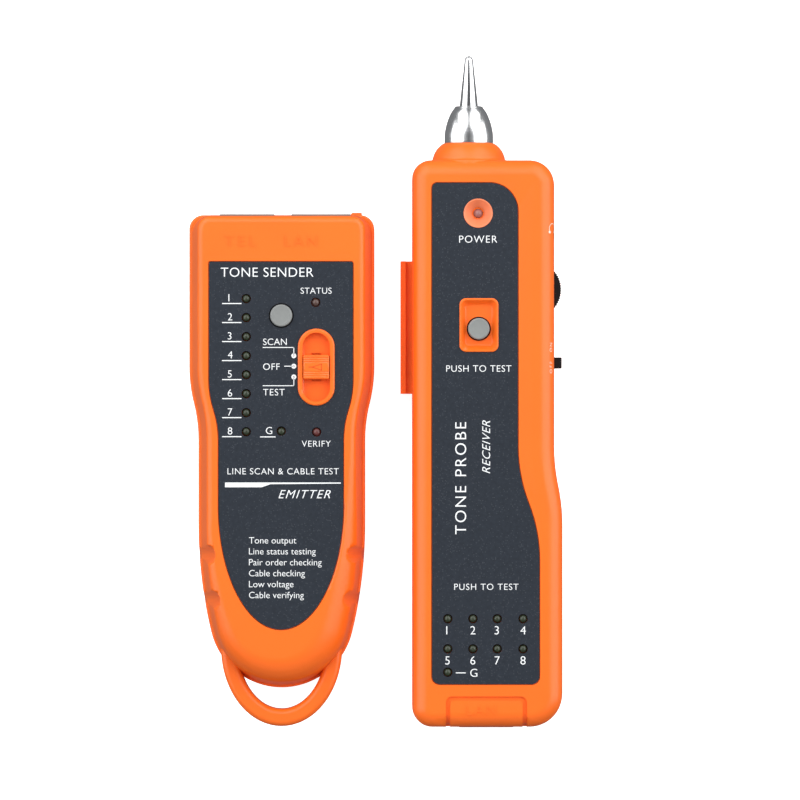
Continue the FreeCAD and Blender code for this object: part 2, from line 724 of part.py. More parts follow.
def build_lights():
    top = "(face_height - 0.1)"
    node(join(*[light(x, y, top) for x, y in EMITTER_PAIRS]), "emitter_pair_leds", "emitter")
    node(light(*STATUS_LIGHT, top), "emitter_status_led", "emitter")
    node(light(*VERIFY_LIGHT, top), "emitter_verify_led", "emitter")
    node(join(*[light(x, y, top) for x, y in RECEIVER_LIGHTS]), "receiver_pair_leds", "receiver")
    node(light(*POWER_LIGHT, "(face_height - 1.2)"), "receiver_power_led", "receiver")


def build_button(unit, label, x, y, radius, drop, rise):
    """Round cap that stands proud of the face, with a flange under the shell and the switch it presses."""
    flange, top = f"({CEILING} - {drop})", f"(face_height + {rise})"
    body = design(unit + "_" + label, unit)
    pad(body, circle_sketch(body, f"{radius} + 1", flange, x, y), 0.8)
    doc.recompute()
    pad(body, circle_sketch(body, radius, f"{flange} + 0.8", x, y), f"{top} - {flange} - 0.8")
    soften(body, 0.6, level(size("face_height") + rise))
    plunger = join(rod(x, y, f"{flange} - 1.7", 1.6, 1.2), rod(x, y, f"{flange} - 0.5", 1.2, 0.5))
    node(plunger, unit + "_button_plunger", unit)
    case = block((f"{x} - 3", f"{x} + 3"), (f"{y} - 3", f"{y} + 3"), (BOARD_TOP, f"{flange} - 0.7"))
    well = rod(x, y, f"{flange} - 2.5", 1.7, 4)
    node(cut(case, well), unit + "_tact_switch", unit)


KNOB_HALF, KNOB_RISE = 4.2, 1.6
SKIRT_HALF, SKIRT_LENGTH = 2.8, "(4.7 + slider_travel)"


def build_slider():
    """Mode slider: a ribbed knob, a skirt that keeps its slot covered, and a three-position switch."""
    plate = block((f"slider_x - {KNOB_HALF}", f"slider_x + {KNOB_HALF}"),
                  ("slider_y - 3.9", "slider_y + 3.9"),
                  (f"face_height - {SLIDER_FLOOR} + 0.1", f"face_height + {KNOB_RISE}"))
    upper = size("face_height") + KNOB_RISE
    plate = rounded(plate, 0.5, lambda edge: edge.BoundBox.ZMax > upper - 1e-4)
    valleys = [rod("slider_x - 6", f"slider_y + {offset}", f"face_height + {KNOB_RISE} + 0.1", 0.3, 12, "x")
               for offset in (-3.0, -2.3, -1.6, 1.6, 2.3, 3.0)]
    stem = block(("slider_x - 1.3", "slider_x + 1.3"), ("slider_y - 1", "slider_y + 1"),
                 (f"{BOARD_TOP} + 1.4", "face_height - 1"))
    skirt = block((f"slider_x - {SKIRT_HALF}", f"slider_x + {SKIRT_HALF}"),
                  (f"slider_y - {SKIRT_LENGTH}", f"slider_y + {SKIRT_LENGTH}"),
                  (f"{BOARD_TOP} + 3.06", f"{CEILING} - 0.66"))
    node(join(cut(plate, *valleys), stem, skirt), "emitter_slider_knob", "emitter")
    case = block(("slider_x - 3.6", "slider_x + 3.6"), ("slider_y - 7.2", "slider_y + 7.2"),
                 (BOARD_TOP, f"{BOARD_TOP} + 3"))
    well = block(("slider_x - 1.7", "slider_x + 1.7"), ("slider_y - 5.3", "slider_y + 5.3"),
                 (f"{BOARD_TOP} + 1", f"{BOARD_TOP} + 5"))
    node(cut(case, well), "emitter_slide_switch", "emitter")


def build_boards():
    """Circuit boards, notched round the screw bosses, with their chips."""
    z = ("board_under", BOARD_TOP)
    notches = [rod(x, y, 20, "boss_radius + 0.3", 6) for x, y in EMITTER_SCREWS]
    node(cut(block((-22.4, 22.4), (-37.0, 53.5), z), *notches), "emitter_circuit_board", "emitter")
    notches = [rod(x, y, 20, "boss_radius + 0.3", 6) for x, y in RECEIVER_SCREWS]
    node(cut(block((-19.6, 19.6), (-105.0, 66.0), z), *notches), "receiver_circuit_board", "receiver")
    under = ("board_under - 1.6", "board_under")
    chips = [block((-14, -4), (-6, 2), under), block((4, 11), (14, 19), under),
             block((-16, -11), (22, 27), under)]
    node(join(*chips), "emitter_chips", "emitter")
    chips = [block((-12, -2), (28, 36), under), block((2, 9), (40, 45), under),
             block((-15, -10), (-8, -2), under)]
    node(join(*chips), "receiver_chips", "receiver")


# ---- sockets ----

def modular_jack(x, bezel, plug, mouth, inward):
    """Jack with a stepped cavity for a plug and its latch; it opens at y = mouth."""
    def along(start, end):
        return tuple(sorted((mouth + inward * start, mouth + inward * end)))

    half, cavity = bezel / 2 - BEZEL, plug / 2
    case = join(block((x - half, x + half), along(0, 18), (JACK_LOW, JACK_HIGH)),
                bezel_space(x, bezel, *along(0, 1.8)))
    room = block((x - cavity, x + cavity), along(-1, 14), (12.6, 19.9))
    latch = block((x - 3.1, x + 3.1), along(-1, 12), (10.6, 12.7))
    return cut(case, room, latch)


def jack_contacts(x, count, mouth, inward):
    """Row of spring contacts that run along the roof of the cavity and bend down at its back."""
    wires = []
    for number in range(count):
        place = x + (number - (count - 1) / 2) * 1.02
        span = sorted((mouth + inward * 3, mouth + inward * 14))
        hook = sorted((mouth + inward * 13.4, mouth + inward * 14))
        side = (place - 0.22, place + 0.22)
        wires.append(join(block(side, span, (19.4, 19.9)), block(side, hook, (15.5, 19.9))))
    return join(*wires)


def build_jacks():
    mouth = size("emitter_top") + 0.1
    for name, count in (("tel", 6), ("lan", 8)):
        x, bezel, plug = JACKS[name]
        node(modular_jack(x, bezel, plug, mouth, -1), f"emitter_{name}_jack", "emitter")
        node(jack_contacts(x, count, mouth, -1), f"emitter_{name}_contacts", "emitter")
    mouth = size("receiver_bottom")
    node(modular_jack(RECEIVER_JACK_X, RECEIVER_BEZEL, 11.9, mouth, 1), "receiver_lan_jack", "receiver")
    node(jack_contacts(RECEIVER_JACK_X, 8, mouth, 1), "receiver_lan_contacts", "receiver")
    half = "receiver_half_width"
    case = join(block((9.5, f"{half} - wall - 0.4"), ("phones_y - 3.3", "phones_y + 3.3"),
                      (12.8, "board_under")),
                rod(12, "phones_y", "split_height", 3.0, f"{half} - 12", "x"))
    bore = rod(10.5, "phones_y", "split_height", "phones_radius", 20, "x")
    node(cut(case, bore), "earphone_jack", "receiver")


# ---- batteries, screws and speaker ----

def build_battery(unit):
    top = "(battery_foot + battery_length)"
    middle = "(battery_low + battery_thick / 2)"
    case = block(("-battery_half_width", "battery_half_width"), ("battery_foot", top),
                 ("battery_low", "battery_low + battery_thick"))
    case = rounded(case, 1.4, lambda edge: edge.BoundBox.YLength > 20)
    studs = [rod(x, top, middle, radius, 2.7, "y") for x, radius in ((-6.35, 2.8), (6.35, 3.8))]
    node(join(case, *studs), unit + "_battery", unit)
    plate = block((-12.6, 12.6), (f"{top} + 0.3", f"{top} + 5"), (f"{middle} - 6", f"{middle} + 6"))
    wells = [rod(x, f"{top} - 1", middle, radius, 4.2, "y") for x, radius in ((-6.35, 3.1), (6.35, 4.1))]
    node(cut(plate, *wells), unit + "_battery_snap", unit)
    leads = []
    for x in (-1.2, 1.2):
        bend = bind(doc.addObject("Part::Torus", "bend"), Radius1=5, Radius2=0.6, Angle3=90)
        put(bend, x, f"{top} + 8", f"{middle} + 5", TURNS["x"])
        leads.append(join(rod(x, f"{top} + 5", middle, 0.6, 3, "y"), bend,
                          rod(x, f"{top} + 13", f"{middle} + 5", 0.6, f"board_under - {middle} - 5")))
    node(join(*leads), unit + "_battery_leads", unit)


def build_screws(unit, places):
    screws = []
    for x, y in places:
        head = rod(x, y, 1.0, "screw_head_radius", 2.0)
        cross = [block((f"{x} - {a}", f"{x} + {a}"), (f"{y} - {b}", f"{y} + {b}"), (0, 2.0))
                 for a, b in ((1.4, 0.3), (0.3, 1.4))]
        screws.append(cut(join(head, rod(x, y, 2.9, "screw_radius", 21)), *cross))
    node(join(*screws), unit + "_screws", unit)


def build_speaker():
    frame = rod(SPEAKER_X, SPEAKER_Y, "wall", SPEAKER_RADIUS, 3.2)
    magnet = rod(SPEAKER_X, SPEAKER_Y, "wall + 3", 6.0, 3.0)
    bowl = cone(SPEAKER_X, SPEAKER_Y, "wall - 0.1", 12.0, 5.0, 2.0)
    node(cut(join(frame, magnet), bowl), "speaker", "receiver")


# ---- the probe's metal nose ----

def build_probe():
    base, end = size("nozzle_end"), size("collar_end")
    seat, tip_radius, shank = end - 6.0, size("tip_radius"), size("shank_radius")
    width = size("collar_radius")
    collar = design("probe_collar", "receiver")
    put(collar, "receiver_x + probe_x", 0, "split_height")
    ogive = Part.Arc(Vector(width, base + 1.2, 0), Vector(7.15, base + 6.6, 0), Vector(4.6, end - 0.4, 0))
    crown = Part.Arc(Vector(4.6, end - 0.4, 0), Vector(4.35, end - 0.1, 0), Vector(4.0, end, 0))
    turned(collar, body_sketch(collar, [
        line(0, base - 14, shank, base - 14), line(shank, base - 14, shank, base),
        line(shank, base, width - 0.3, base), line(width - 0.3, base, width, base + 0.3),
        line(width, base + 0.3, width, base + 1.2), ogive, crown,
        line(4.0, end, tip_radius, end), line(tip_radius, end, tip_radius, seat),
        line(tip_radius, seat, 0, seat), line(0, seat, 0, base - 14)]))

    tip = design("probe_tip", "receiver")
    put(tip, "receiver_x + probe_x", 0, "split_height")
    point, blunt = size("tip_end"), 1.35
    nose = arc(0, point - blunt, blunt, 0, 90)
    taper = Part.Arc(Vector(tip_radius, end + 0.8, 0), Vector(2.2, (end + point) / 2, 0),
                     Vector(blunt, point - blunt, 0))
    turned(tip, body_sketch(tip, [
        line(0, seat, tip_radius, seat), line(tip_radius, seat, tip_radius, end + 0.8), taper, nose,
        line(0, point, 0, seat)]))

    nut = bind(doc.addObject("Part::Prism", "nut"), Circumradius="shank_radius + 2.4", Height=3.2)
    nut.Polygon = 6
    put(nut, "probe_x", "receiver_top - wall - 3.6", "split_height", TURNS["y"])
    bore = rod("probe_x", 60, "split_height", "shank_radius", 30, "y")
    node(cut(nut, bore), "probe_nut", "receiver")


# ---- the receiver's side controls and lamp ----

def build_volume():
    """Knurled thumbwheel on a small potentiometer under the board."""
    wheel = design("volume_wheel", "receiver")
    put(wheel, "receiver_x + wheel_x", "wheel_y", 0)
    pad(wheel, circle_sketch(wheel, "wheel_radius", "wheel_low"), "wheel_thick")
    low = size("wheel_low")
    rims = [level(low), level(low + size("wheel_thick"))]
    soften(wheel, 0.4, lambda edge: any(test(edge) for test in rims))
    doc.recompute()
    notch = pocket(wheel, circle_sketch(wheel, 0.36, "wheel_low - 1", "wheel_radius + 0.08"),
                   "wheel_thick + 2")
    doc.recompute()
    knurl = wheel.newObject("PartDesign::PolarPattern", "knurl")
    knurl.Originals = [notch]
    knurl.Axis = (next(item for item in wheel.Origin.OriginFeatures if item.Role == "Z_Axis"), [""])
    knurl.Angle = 360
    knurl.Occurrences = 72
    wheel.Tip = knurl
    doc.recompute()
    pocket(wheel, circle_sketch(wheel, 2.05, "wheel_low - 1"), "wheel_thick + 2")

    case = rod("wheel_x", "wheel_y", "wheel_low + wheel_thick + 0.15", 4.6,
               "board_under - wheel_low - wheel_thick - 0.15")
    shaft = rod("wheel_x", "wheel_y", "wheel_low - 0.5", 2.0, "board_under - wheel_low")
    clip = rod("wheel_x", "wheel_y", "wheel_low - 0.9", 2.9, 0.8)
    node(join(case, shaft, clip), "volume_potentiometer", "receiver")


CAP_OUT = 2.35                # how far the lamp switch stands out of the receiver's side


def build_lamp():
    wall_in = "receiver_half_width - wall"
    y0, y1 = "lamp_switch_y - 1.85", "lamp_switch_y + 1.85"
    cap = block((f"{wall_in} - 3.6", f"receiver_half_width + {CAP_OUT}"), (y0, y1), (17.6, 21.0))
    edge_x = size("receiver_half_width") + CAP_OUT
    cap = rounded(cap, 0.4, lambda edge: edge.BoundBox.XMin > edge_x - 1e-4)
    node(cap, "lamp_switch_knob", "receiver")
    middle = "lamp_switch_y + lamp_travel / 2"
    case = block((f"{wall_in} - 6", f"{wall_in} - 0.6"), (f"{middle} - 6.2", f"{middle} + 6.2"),
                 (15.6, "board_under"))
    well = block((f"{wall_in} - 3.8", f"{wall_in} + 2"), (f"{middle} - 3.5", f"{middle} + 3.5"), (17.3, 21.3))
    node(cut(case, well), "lamp_switch_body", "receiver")
    foot = "receiver_top - 11.4"
    lens = join(rod("lamp_x", foot, "split_height", 2.9, 1.0, "y"),
                rod("lamp_x", foot, "split_height", 2.5, 8.4, "y"),
                ball("lamp_x", f"{foot} + 8.4", "split_height", 2.5),
                *[rod(f"lamp_x + {side * 1.27}", f"{foot} - 4", "split_height", 0.3, 4.5, "y")
                  for side in (-1, 1)])
    node(lens, "lamp_led", "receiver")


# ---- label panels and the loop ----

def build_panels():
    gap = size("panel_gap")
    slider = [size("slider_x"), size("slider_y")]
    plate = prism(emitter_panel_outline(gap), RECESS, f"{RECESS} + panel_thick")
    holes = [rod(x, y, 28, "lens_radius + lens_gap", 5) for x, y in EMITTER_LIGHTS]
    node(cut(plate, prism(round_slot(*slider, *SLIDER_RIM), 28, 34), *holes,
             rod("button_x", "button_y", 28, "button_radius + 0.3", 5)), "emitter_label_panel", "emitter")
    plate = prism(receiver_panel_outline(gap), RECESS, f"{RECESS} + panel_thick")
    holes = [rod(x, y, 28, "lens_radius + lens_gap", 5) for x, y in RECEIVER_LIGHTS]
    node(cut(plate, prism(round_slot(*test_middle(), *TEST_RIM), 28, 34), *holes,
             rod("power_x", "power_y", 28, POWER_RIM, 5)), "receiver_label_panel", "receiver")


build_emitter_front()
build_emitter_back()
build_receiver_front()
build_receiver_back()
build_panels()
node(loop_solid(), "emitter_hanging_loop", "emitter")
build_lights()
build_button("emitter", "push_button", "button_x", "button_y", "button_radius", 1, 1)
build_button("receiver", "test_button", "test_x", "test_y", "test_radius", 1.8, 0.5)
build_slider()
build_boards()
build_jacks()
for unit_name in ("emitter", "receiver"):
    build_battery(unit_name)
build_screws("emitter", EMITTER_SCREWS)
build_screws("receiver", RECEIVER_SCREWS)
build_speaker()
build_probe()
build_volume()
build_lamp()
doc.recompute()

# ---- checks, then one STEP file for each sub-part ----

for item in doc.Objects:
    if {"Invalid", "Error"} & set(item.State):
        raise RuntimeError(f"{item.Name} ({item.Label}) failed: {item.State}")
for label, item in NODES.items():
    if item.Shape.isNull() or not item.Shape.isValid() or not item.Shape.Solids:
        raise RuntimeError(f"{label} has no valid solid")

os.makedirs("parts", exist_ok=True)
for label, item in NODES.items():
    item.Shape.exportStep(f"parts/{label}.step")
    print(f"{label}: {len(item.Shape.Solids)} solid(s), {item.Shape.Volume:.0f} mm3")
print(len(NODES), "sub-parts")
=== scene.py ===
# %% [markdown]
# # A tone probe kit and its finishes
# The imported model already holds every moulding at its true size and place. This lesson adds what a mould
# shop, a printer and a plating shop would add: plastic with a fine grain, printed labels, glossy lens
# tips and chromed metal. Everything is in metres, in the frame that the model is packed in.

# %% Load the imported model
import json
import math

import bmesh
import bpy
import numpy as np
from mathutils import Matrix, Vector


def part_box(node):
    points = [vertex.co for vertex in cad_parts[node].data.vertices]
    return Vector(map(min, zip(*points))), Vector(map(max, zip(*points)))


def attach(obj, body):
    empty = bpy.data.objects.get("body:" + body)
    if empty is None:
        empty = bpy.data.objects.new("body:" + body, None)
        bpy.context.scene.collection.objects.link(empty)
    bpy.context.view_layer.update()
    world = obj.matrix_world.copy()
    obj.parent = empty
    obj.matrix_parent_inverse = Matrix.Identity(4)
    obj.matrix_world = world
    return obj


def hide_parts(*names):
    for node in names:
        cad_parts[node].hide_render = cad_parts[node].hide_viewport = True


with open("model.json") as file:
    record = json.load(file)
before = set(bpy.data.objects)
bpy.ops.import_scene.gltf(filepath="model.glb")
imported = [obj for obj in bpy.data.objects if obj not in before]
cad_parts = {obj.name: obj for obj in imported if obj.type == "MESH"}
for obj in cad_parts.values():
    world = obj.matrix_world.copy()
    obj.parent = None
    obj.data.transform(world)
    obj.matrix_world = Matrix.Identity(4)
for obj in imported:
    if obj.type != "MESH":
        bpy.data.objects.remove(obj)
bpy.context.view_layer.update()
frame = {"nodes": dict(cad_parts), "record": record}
nodes, bodies = frame["nodes"], frame["record"]["behaviour"]["bodies"]
body_of = {name: body for body, names in bodies.items() for name in names}
slot_of = {entry["node"]: entry["material_slot"] for entry in frame["record"]["subparts"]}
MM = 0.001


# %% [markdown]
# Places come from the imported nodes. Each unit has a middle line of its own, which is the middle of its
# battery, and a face, which is the top of its label panel. The lettering is laid out from those. The
# panel lies a tenth of a millimetre below the shell round it.

# %% Places that the rest is laid out from
def middle(name):
    """Centre of a node: halfway between its lowest and highest corner."""
    low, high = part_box(name)
    return (low + high) / 2


emitter_x = middle("emitter_battery").x
receiver_x = middle("receiver_battery").x
label_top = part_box("emitter_label_panel")[1].z
LABEL_DROP = 0.1 * MM
shell_face = label_top + LABEL_DROP
print(f"emitter at x {emitter_x:.4f}, receiver at x {receiver_x:.4f}, labels at z {label_top:.4f}")


# %% [markdown]
# Every finish here is one Principled shader. A small helper makes it, and a second one adds grain: fine
# noise, read on Object coordinates so that it stays with the piece, which bends the shading normal and
# varies the colour a little. Values that are the same all over sit directly on the shader.

# %% Helpers for finishes
def finish(name, colour, roughness, **settings):
    """A material with one Principled shader; settings name its other sockets."""
    material = bpy.data.materials.new(name)
    material.use_nodes = True
    shader = material.node_tree.nodes["Principled BSDF"]
    shader.inputs["Base Color"].default_value = (*colour, 1)
    shader.inputs["Roughness"].default_value = roughness
    for socket, value in settings.items():
        shader.inputs[socket.replace("_", " ")].default_value = value
    return material


def add(material, kind, **settings):
    """A node in a material's tree; settings are its properties, or its sockets' values."""
    made = material.node_tree.nodes.new(kind)
    for name, value in settings.items():
        if name in made.inputs:
            made.inputs[name].default_value = value
        else:
            setattr(made, name, value)
    return made


def wire(material, *ends):
    """Join node outputs to inputs, given in pairs."""
    for start, end in zip(ends[::2], ends[1::2]):
        material.node_tree.links.new(start, end)


def noise(material, grain, detail=2.0, stretch=(1, 1, 1)):
    """Noise whose grains are about that long in metres, stretched along the axes."""
    place = add(material, "ShaderNodeTexCoord")
    scaled = add(material, "ShaderNodeMapping")
    scaled.inputs["Scale"].default_value = stretch
    speck = add(material, "ShaderNodeTexNoise", Scale=1 / grain, Detail=detail)
    wire(material, place.outputs["Object"], scaled.inputs["Vector"],
         scaled.outputs["Vector"], speck.inputs["Vector"])
    return speck


def mottle(material, colour, amount, grain, detail=3.0):
    """Base colour that drifts between a darker and a lighter tint with slow noise."""
    ramp = add(material, "ShaderNodeValToRGB")
    ramp.color_ramp.elements[0].position = 0.3
    ramp.color_ramp.elements[1].position = 0.7
    ramp.color_ramp.elements[0].color = (*[part * (1 - amount) for part in colour], 1)
    ramp.color_ramp.elements[1].color = (*[min(part * (1 + amount), 1) for part in colour], 1)
    shader = material.node_tree.nodes["Principled BSDF"]
    wire(material, noise(material, grain, detail).outputs["Fac"], ramp.inputs["Fac"],
         ramp.outputs["Color"], shader.inputs["Base Color"])
    return ramp


def pebble(material, grain, depth, detail=2.0, stretch=(1, 1, 1), before=None):
    """Bump made by fine noise; before is a bump that it adds to."""
    bump = add(material, "ShaderNodeBump", Strength=1.0, Distance=depth)
    shader = material.node_tree.nodes["Principled BSDF"]
    wire(material, noise(material, grain, detail, stretch).outputs["Fac"], bump.inputs["Height"],
         bump.outputs["Normal"], shader.inputs["Normal"])
    if before:
        wire(material, before.outputs["Normal"], bump.inputs["Normal"])
    return bump


# %% [markdown]
# The shells are ABS in a strong orange. A moulding is never one flat tone: the melt leaves slow streaks a
# few centimetres long, and the spark-eroded mould leaves a fine satin grain. The label is a slate
# polycarbonate film with a sparkle of tiny pale specks under a soft-touch grain.

# %% Plastics
ORANGE = (0.93, 0.150, 0.010)


def orange_abs():
    """The shells' plastic: one warm orange, a slow drift in tone and a fine moulded grain."""
    material = finish("orange_abs", ORANGE, 0.38, Specular_IOR_Level=0.5)
    mottle(material, ORANGE, 0.035, 0.03)
    slow = pebble(material, 0.004, 0.00001, 1.0)
    pebble(material, 0.00035, 0.000006, 2.0, before=slow)
    return material


SLATE = (0.0205, 0.0255, 0.0345)


def slate_film():
    """Slate film with pale specks: cells of a fine Voronoi pattern whose random shade is highest."""
    material = finish("slate_film", SLATE, 0.5, Specular_IOR_Level=0.2)
    ramp = mottle(material, SLATE, 0.10, 0.0012, 4.0)
    place = add(material, "ShaderNodeTexCoord")
    cell = add(material, "ShaderNodeTexVoronoi", Scale=1 / 0.00042)
    pick = add(material, "ShaderNodeMath", operation="GREATER_THAN")
    pick.inputs[1].default_value = 0.86
    split = add(material, "ShaderNodeSeparateColor")
    near = add(material, "ShaderNodeMath", operation="LESS_THAN")
    near.inputs[1].default_value = 0.42
    both = add(material, "ShaderNodeMath", operation="MULTIPLY")
    half = add(material, "ShaderNodeMath", operation="MULTIPLY")
    half.inputs[1].default_value = 0.25
    mix = add(material, "ShaderNodeMix", data_type="RGBA")
    mix.inputs["B"].default_value = (0.11, 0.12, 0.135, 1)
    shader = material.node_tree.nodes["Principled BSDF"]
    wire(material, place.outputs["Object"], cell.inputs["Vector"],
         cell.outputs["Color"], split.inputs["Color"],
         split.outputs["Red"], pick.inputs[0], cell.outputs["Distance"], near.inputs[0],
         pick.outputs[0], both.inputs[0], near.outputs[0], both.inputs[1], both.outputs[0], half.inputs[0],
         half.outputs[0], mix.inputs["Factor"], ramp.outputs["Color"], mix.inputs["A"],
         mix.outputs["Result"], shader.inputs["Base Color"])
    pebble(material, 0.0003, 0.000006)
    return material


def moulded(name, colour, roughness, grain=0.0004, depth=0.000006, amount=0.06, **settings):
    """Plain moulded plastic or rubber with a little drift in its tone and a fine grain."""
    material = finish(name, colour, roughness, **settings)
    mottle(material, colour, amount, 0.004)
    pebble(material, grain, depth)
    return material


orange = orange_abs()
slate = slate_film()
key_grey = moulded("key_grey", (0.22, 0.23, 0.225), 0.42)
socket_grey = moulded("socket_grey", (0.17, 0.175, 0.165), 0.45)
wheel_black = moulded("wheel_black", (0.008, 0.008, 0.009), 0.5, depth=0.00001, Specular_IOR_Level=0.2)
soft_black = moulded("soft_black", (0.02, 0.02, 0.021), 0.7, depth=0.00002)
part_black = moulded("part_black", (0.022, 0.022, 0.024), 0.35)
lead_red = moulded("lead_red", (0.45, 0.02, 0.02), 0.5)
print("plastics:", ", ".join(m.name for m in (orange, slate, key_grey, socket_grey, wheel_black)))


# %% [markdown]
# Printing ink on the film is a thin, slightly uneven white. The lens tips are tinted epoxy: dark while
# they are unlit, with a clear glossy skin, which the coat layer gives.

# %% Ink and lenses
def ink():
    """Printing ink with a little unevenness in its coat."""
    material = finish("white_ink", (0.80, 0.82, 0.83), 0.55)
    mottle(material, (0.80, 0.82, 0.83), 0.04, 0.0006)
    pebble(material, 0.0002, 0.000004)
    return material


def tinted_lens(name, colour):
    """Unlit epoxy: a dark tint that is cloudier in places, under a clear coat."""
    material = finish(name, colour, 0.4, Coat_Weight=0.2, Coat_Roughness=0.15)
    mottle(material, colour, 0.22, 0.0009)
    pebble(material, 0.0012, 0.00001, 1.0)
    return material


white_ink = ink()
lens_green = tinted_lens("lens_green", (0.026, 0.036, 0.019))
lens_olive = tinted_lens("lens_olive", (0.085, 0.048, 0.040))
lens_red = tinted_lens("lens_red", (0.11, 0.030, 0.028))
lens_power = tinted_lens("lens_power", (0.30, 0.13, 0.12))
lens_clear = finish("lens_clear", (0.72, 0.74, 0.76), 0.12, Coat_Weight=1.0, Coat_Roughness=0.03)
mottle(lens_clear, (0.72, 0.74, 0.76), 0.08, 0.002)


# %% [markdown]
# Metals differ by how they were worked. The tip is polished and chromed, so it is nearly a mirror. The
# collar was turned on a lathe first: rings run round its axis, which noise stretched across the other
# two axes gives. Contacts are gold plated, screws and switch frames are zinc plated steel.

# %% Metals
def plated(name, colour, roughness, grain, depth, stretch=(1, 1, 1)):
    """Metal whose polish varies a little, with marks of the tool that worked it."""
    material = finish(name, colour, roughness, Metallic=1.0)
    shader = material.node_tree.nodes["Principled BSDF"]
    spread = add(material, "ShaderNodeMapRange")
    spread.inputs["To Min"].default_value = roughness * 0.7
    spread.inputs["To Max"].default_value = roughness * 1.4
    wire(material, noise(material, grain * 8, 3.0, stretch).outputs["Fac"], spread.inputs["Value"],
         spread.outputs["Result"], shader.inputs["Roughness"])
    pebble(material, grain, depth, 2.0, stretch)
    return material


chrome = plated("polished_chrome", (0.86, 0.87, 0.88), 0.07, 0.0015, 0.000003)
turned_metal = plated("turned_metal", (0.84, 0.85, 0.86), 0.22, 0.0009, 0.000022, (0.25, 3.0, 0.25))
zinc = plated("zinc_steel", (0.55, 0.56, 0.57), 0.30, 0.0008, 0.000008)
gold = plated("gold_plate", (0.80, 0.56, 0.22), 0.22, 0.0006, 0.000004)


# %% [markdown]
# Inside, the boards are green solder mask over copper tracks. A brick pattern on Object coordinates is
# enough to read as tracks, because the boards only show through the jacks and the battery bays.

# %% Board and battery finishes
def solder_mask():
    """Green lacquer over copper tracks, drawn as a brick pattern on Object coordinates."""
    colour = (0.02, 0.13, 0.05)
    material = finish("solder_mask", colour, 0.3)
    place = add(material, "ShaderNodeTexCoord")
    tracks = add(material, "ShaderNodeTexBrick", Scale=60.0)
    tracks.inputs["Color1"].default_value = (*colour, 1)
    tracks.inputs["Color2"].default_value = (0.03, 0.17, 0.07, 1)
    tracks.inputs["Mortar"].default_value = (0.06, 0.24, 0.10, 1)
    tracks.inputs["Mortar Size"].default_value = 0.03
    shader = material.node_tree.nodes["Principled BSDF"]
    wire(material, place.outputs["Object"], tracks.inputs["Vector"],
         tracks.outputs["Color"], shader.inputs["Base Color"])
    pebble(material, 0.001, 0.00002)
    return material


COPPER_BAND = 12 * MM


def battery_wrap():
    """Printed steel can: dark for most of its length, with a copper band at the terminal end."""
    terminal_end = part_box("emitter_battery")[1].y
    material = finish("battery_wrap", (0.05, 0.055, 0.06), 0.28, Metallic=0.6)
    place = add(material, "ShaderNodeTexCoord")
    split = add(material, "ShaderNodeSeparateXYZ")
    over = add(material, "ShaderNodeMath", operation="GREATER_THAN")
    over.inputs[1].default_value = terminal_end - COPPER_BAND
    mix = add(material, "ShaderNodeMix", data_type="RGBA")
    mix.inputs["A"].default_value = (0.03, 0.032, 0.036, 1)
    mix.inputs["B"].default_value = (0.55, 0.22, 0.08, 1)
    shader = material.node_tree.nodes["Principled BSDF"]
    wire(material, place.outputs["Object"], split.inputs["Vector"], split.outputs["Y"], over.inputs[0],
         over.outputs[0], mix.inputs["Factor"], mix.outputs["Result"], shader.inputs["Base Color"])
    pebble(material, 0.0015, 0.00002)
    return material


green_board = solder_mask()
wrap = battery_wrap()

FINISH_OF_SLOT = {
    "orange_shell": orange, "slate_label": slate, "grey_button": key_grey, "green_lens": lens_green,
    "red_lens": lens_red, "clear_lens": lens_clear, "green_board": green_board, "gold_contacts": gold,
    "grey_socket": socket_grey, "black_plastic": part_black, "switch_metal": zinc, "black_rubber": soft_black,
    "lead_rubber": lead_red, "battery_case": wrap, "screw_steel": zinc, "polished_chrome": chrome,
    "turned_metal": turned_metal,
}
print(len(FINISH_OF_SLOT), "slots have a finish")


# %% [markdown]
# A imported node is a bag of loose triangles, so it shades as facets. To look moulded, a copy is merged at
# its doubled corners, shaded smooth, and marked sharp only where two faces meet at a real edge. Weighted
# normals keep the broad flats flat beside their rounded edges. The copy then stands in for the node.

# %% Mouldings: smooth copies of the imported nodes
def settle(piece, body, slot, material, *replaced):
    """Say which body a new piece rides on, what it is made of and which nodes it stands for."""
    if piece.name not in bpy.context.scene.collection.objects:
        bpy.context.scene.collection.objects.link(piece)
    piece.data.materials.clear()
    piece.data.materials.append(material)
    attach(piece, body)
    if replaced:
        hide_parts(*replaced)
    return piece


def moulding(name, material=None, angle=32):
    """A smooth-shaded copy of a node, with its doubles merged and its real edges kept sharp."""
    mesh = nodes[name].data.copy()
    work = bmesh.new()
    work.from_mesh(mesh)
    bmesh.ops.remove_doubles(work, verts=work.verts, dist=1e-6)
    bmesh.ops.dissolve_limit(work, angle_limit=math.radians(0.3), verts=work.verts, edges=work.edges)
    work.to_mesh(mesh)
    work.free()
    mesh.name = name + "_finished"
    mesh.shade_smooth()
    mesh.set_sharp_from_angle(angle=math.radians(angle))
    piece = bpy.data.objects.new(name + "_finished", mesh)
    bpy.context.scene.collection.objects.link(piece)
    weigh = piece.modifiers.new("weighted", "WEIGHTED_NORMAL")
    weigh.keep_sharp = True
    slot = slot_of[name]
    return settle(piece, body_of[name], slot, material or FINISH_OF_SLOT[slot], name)


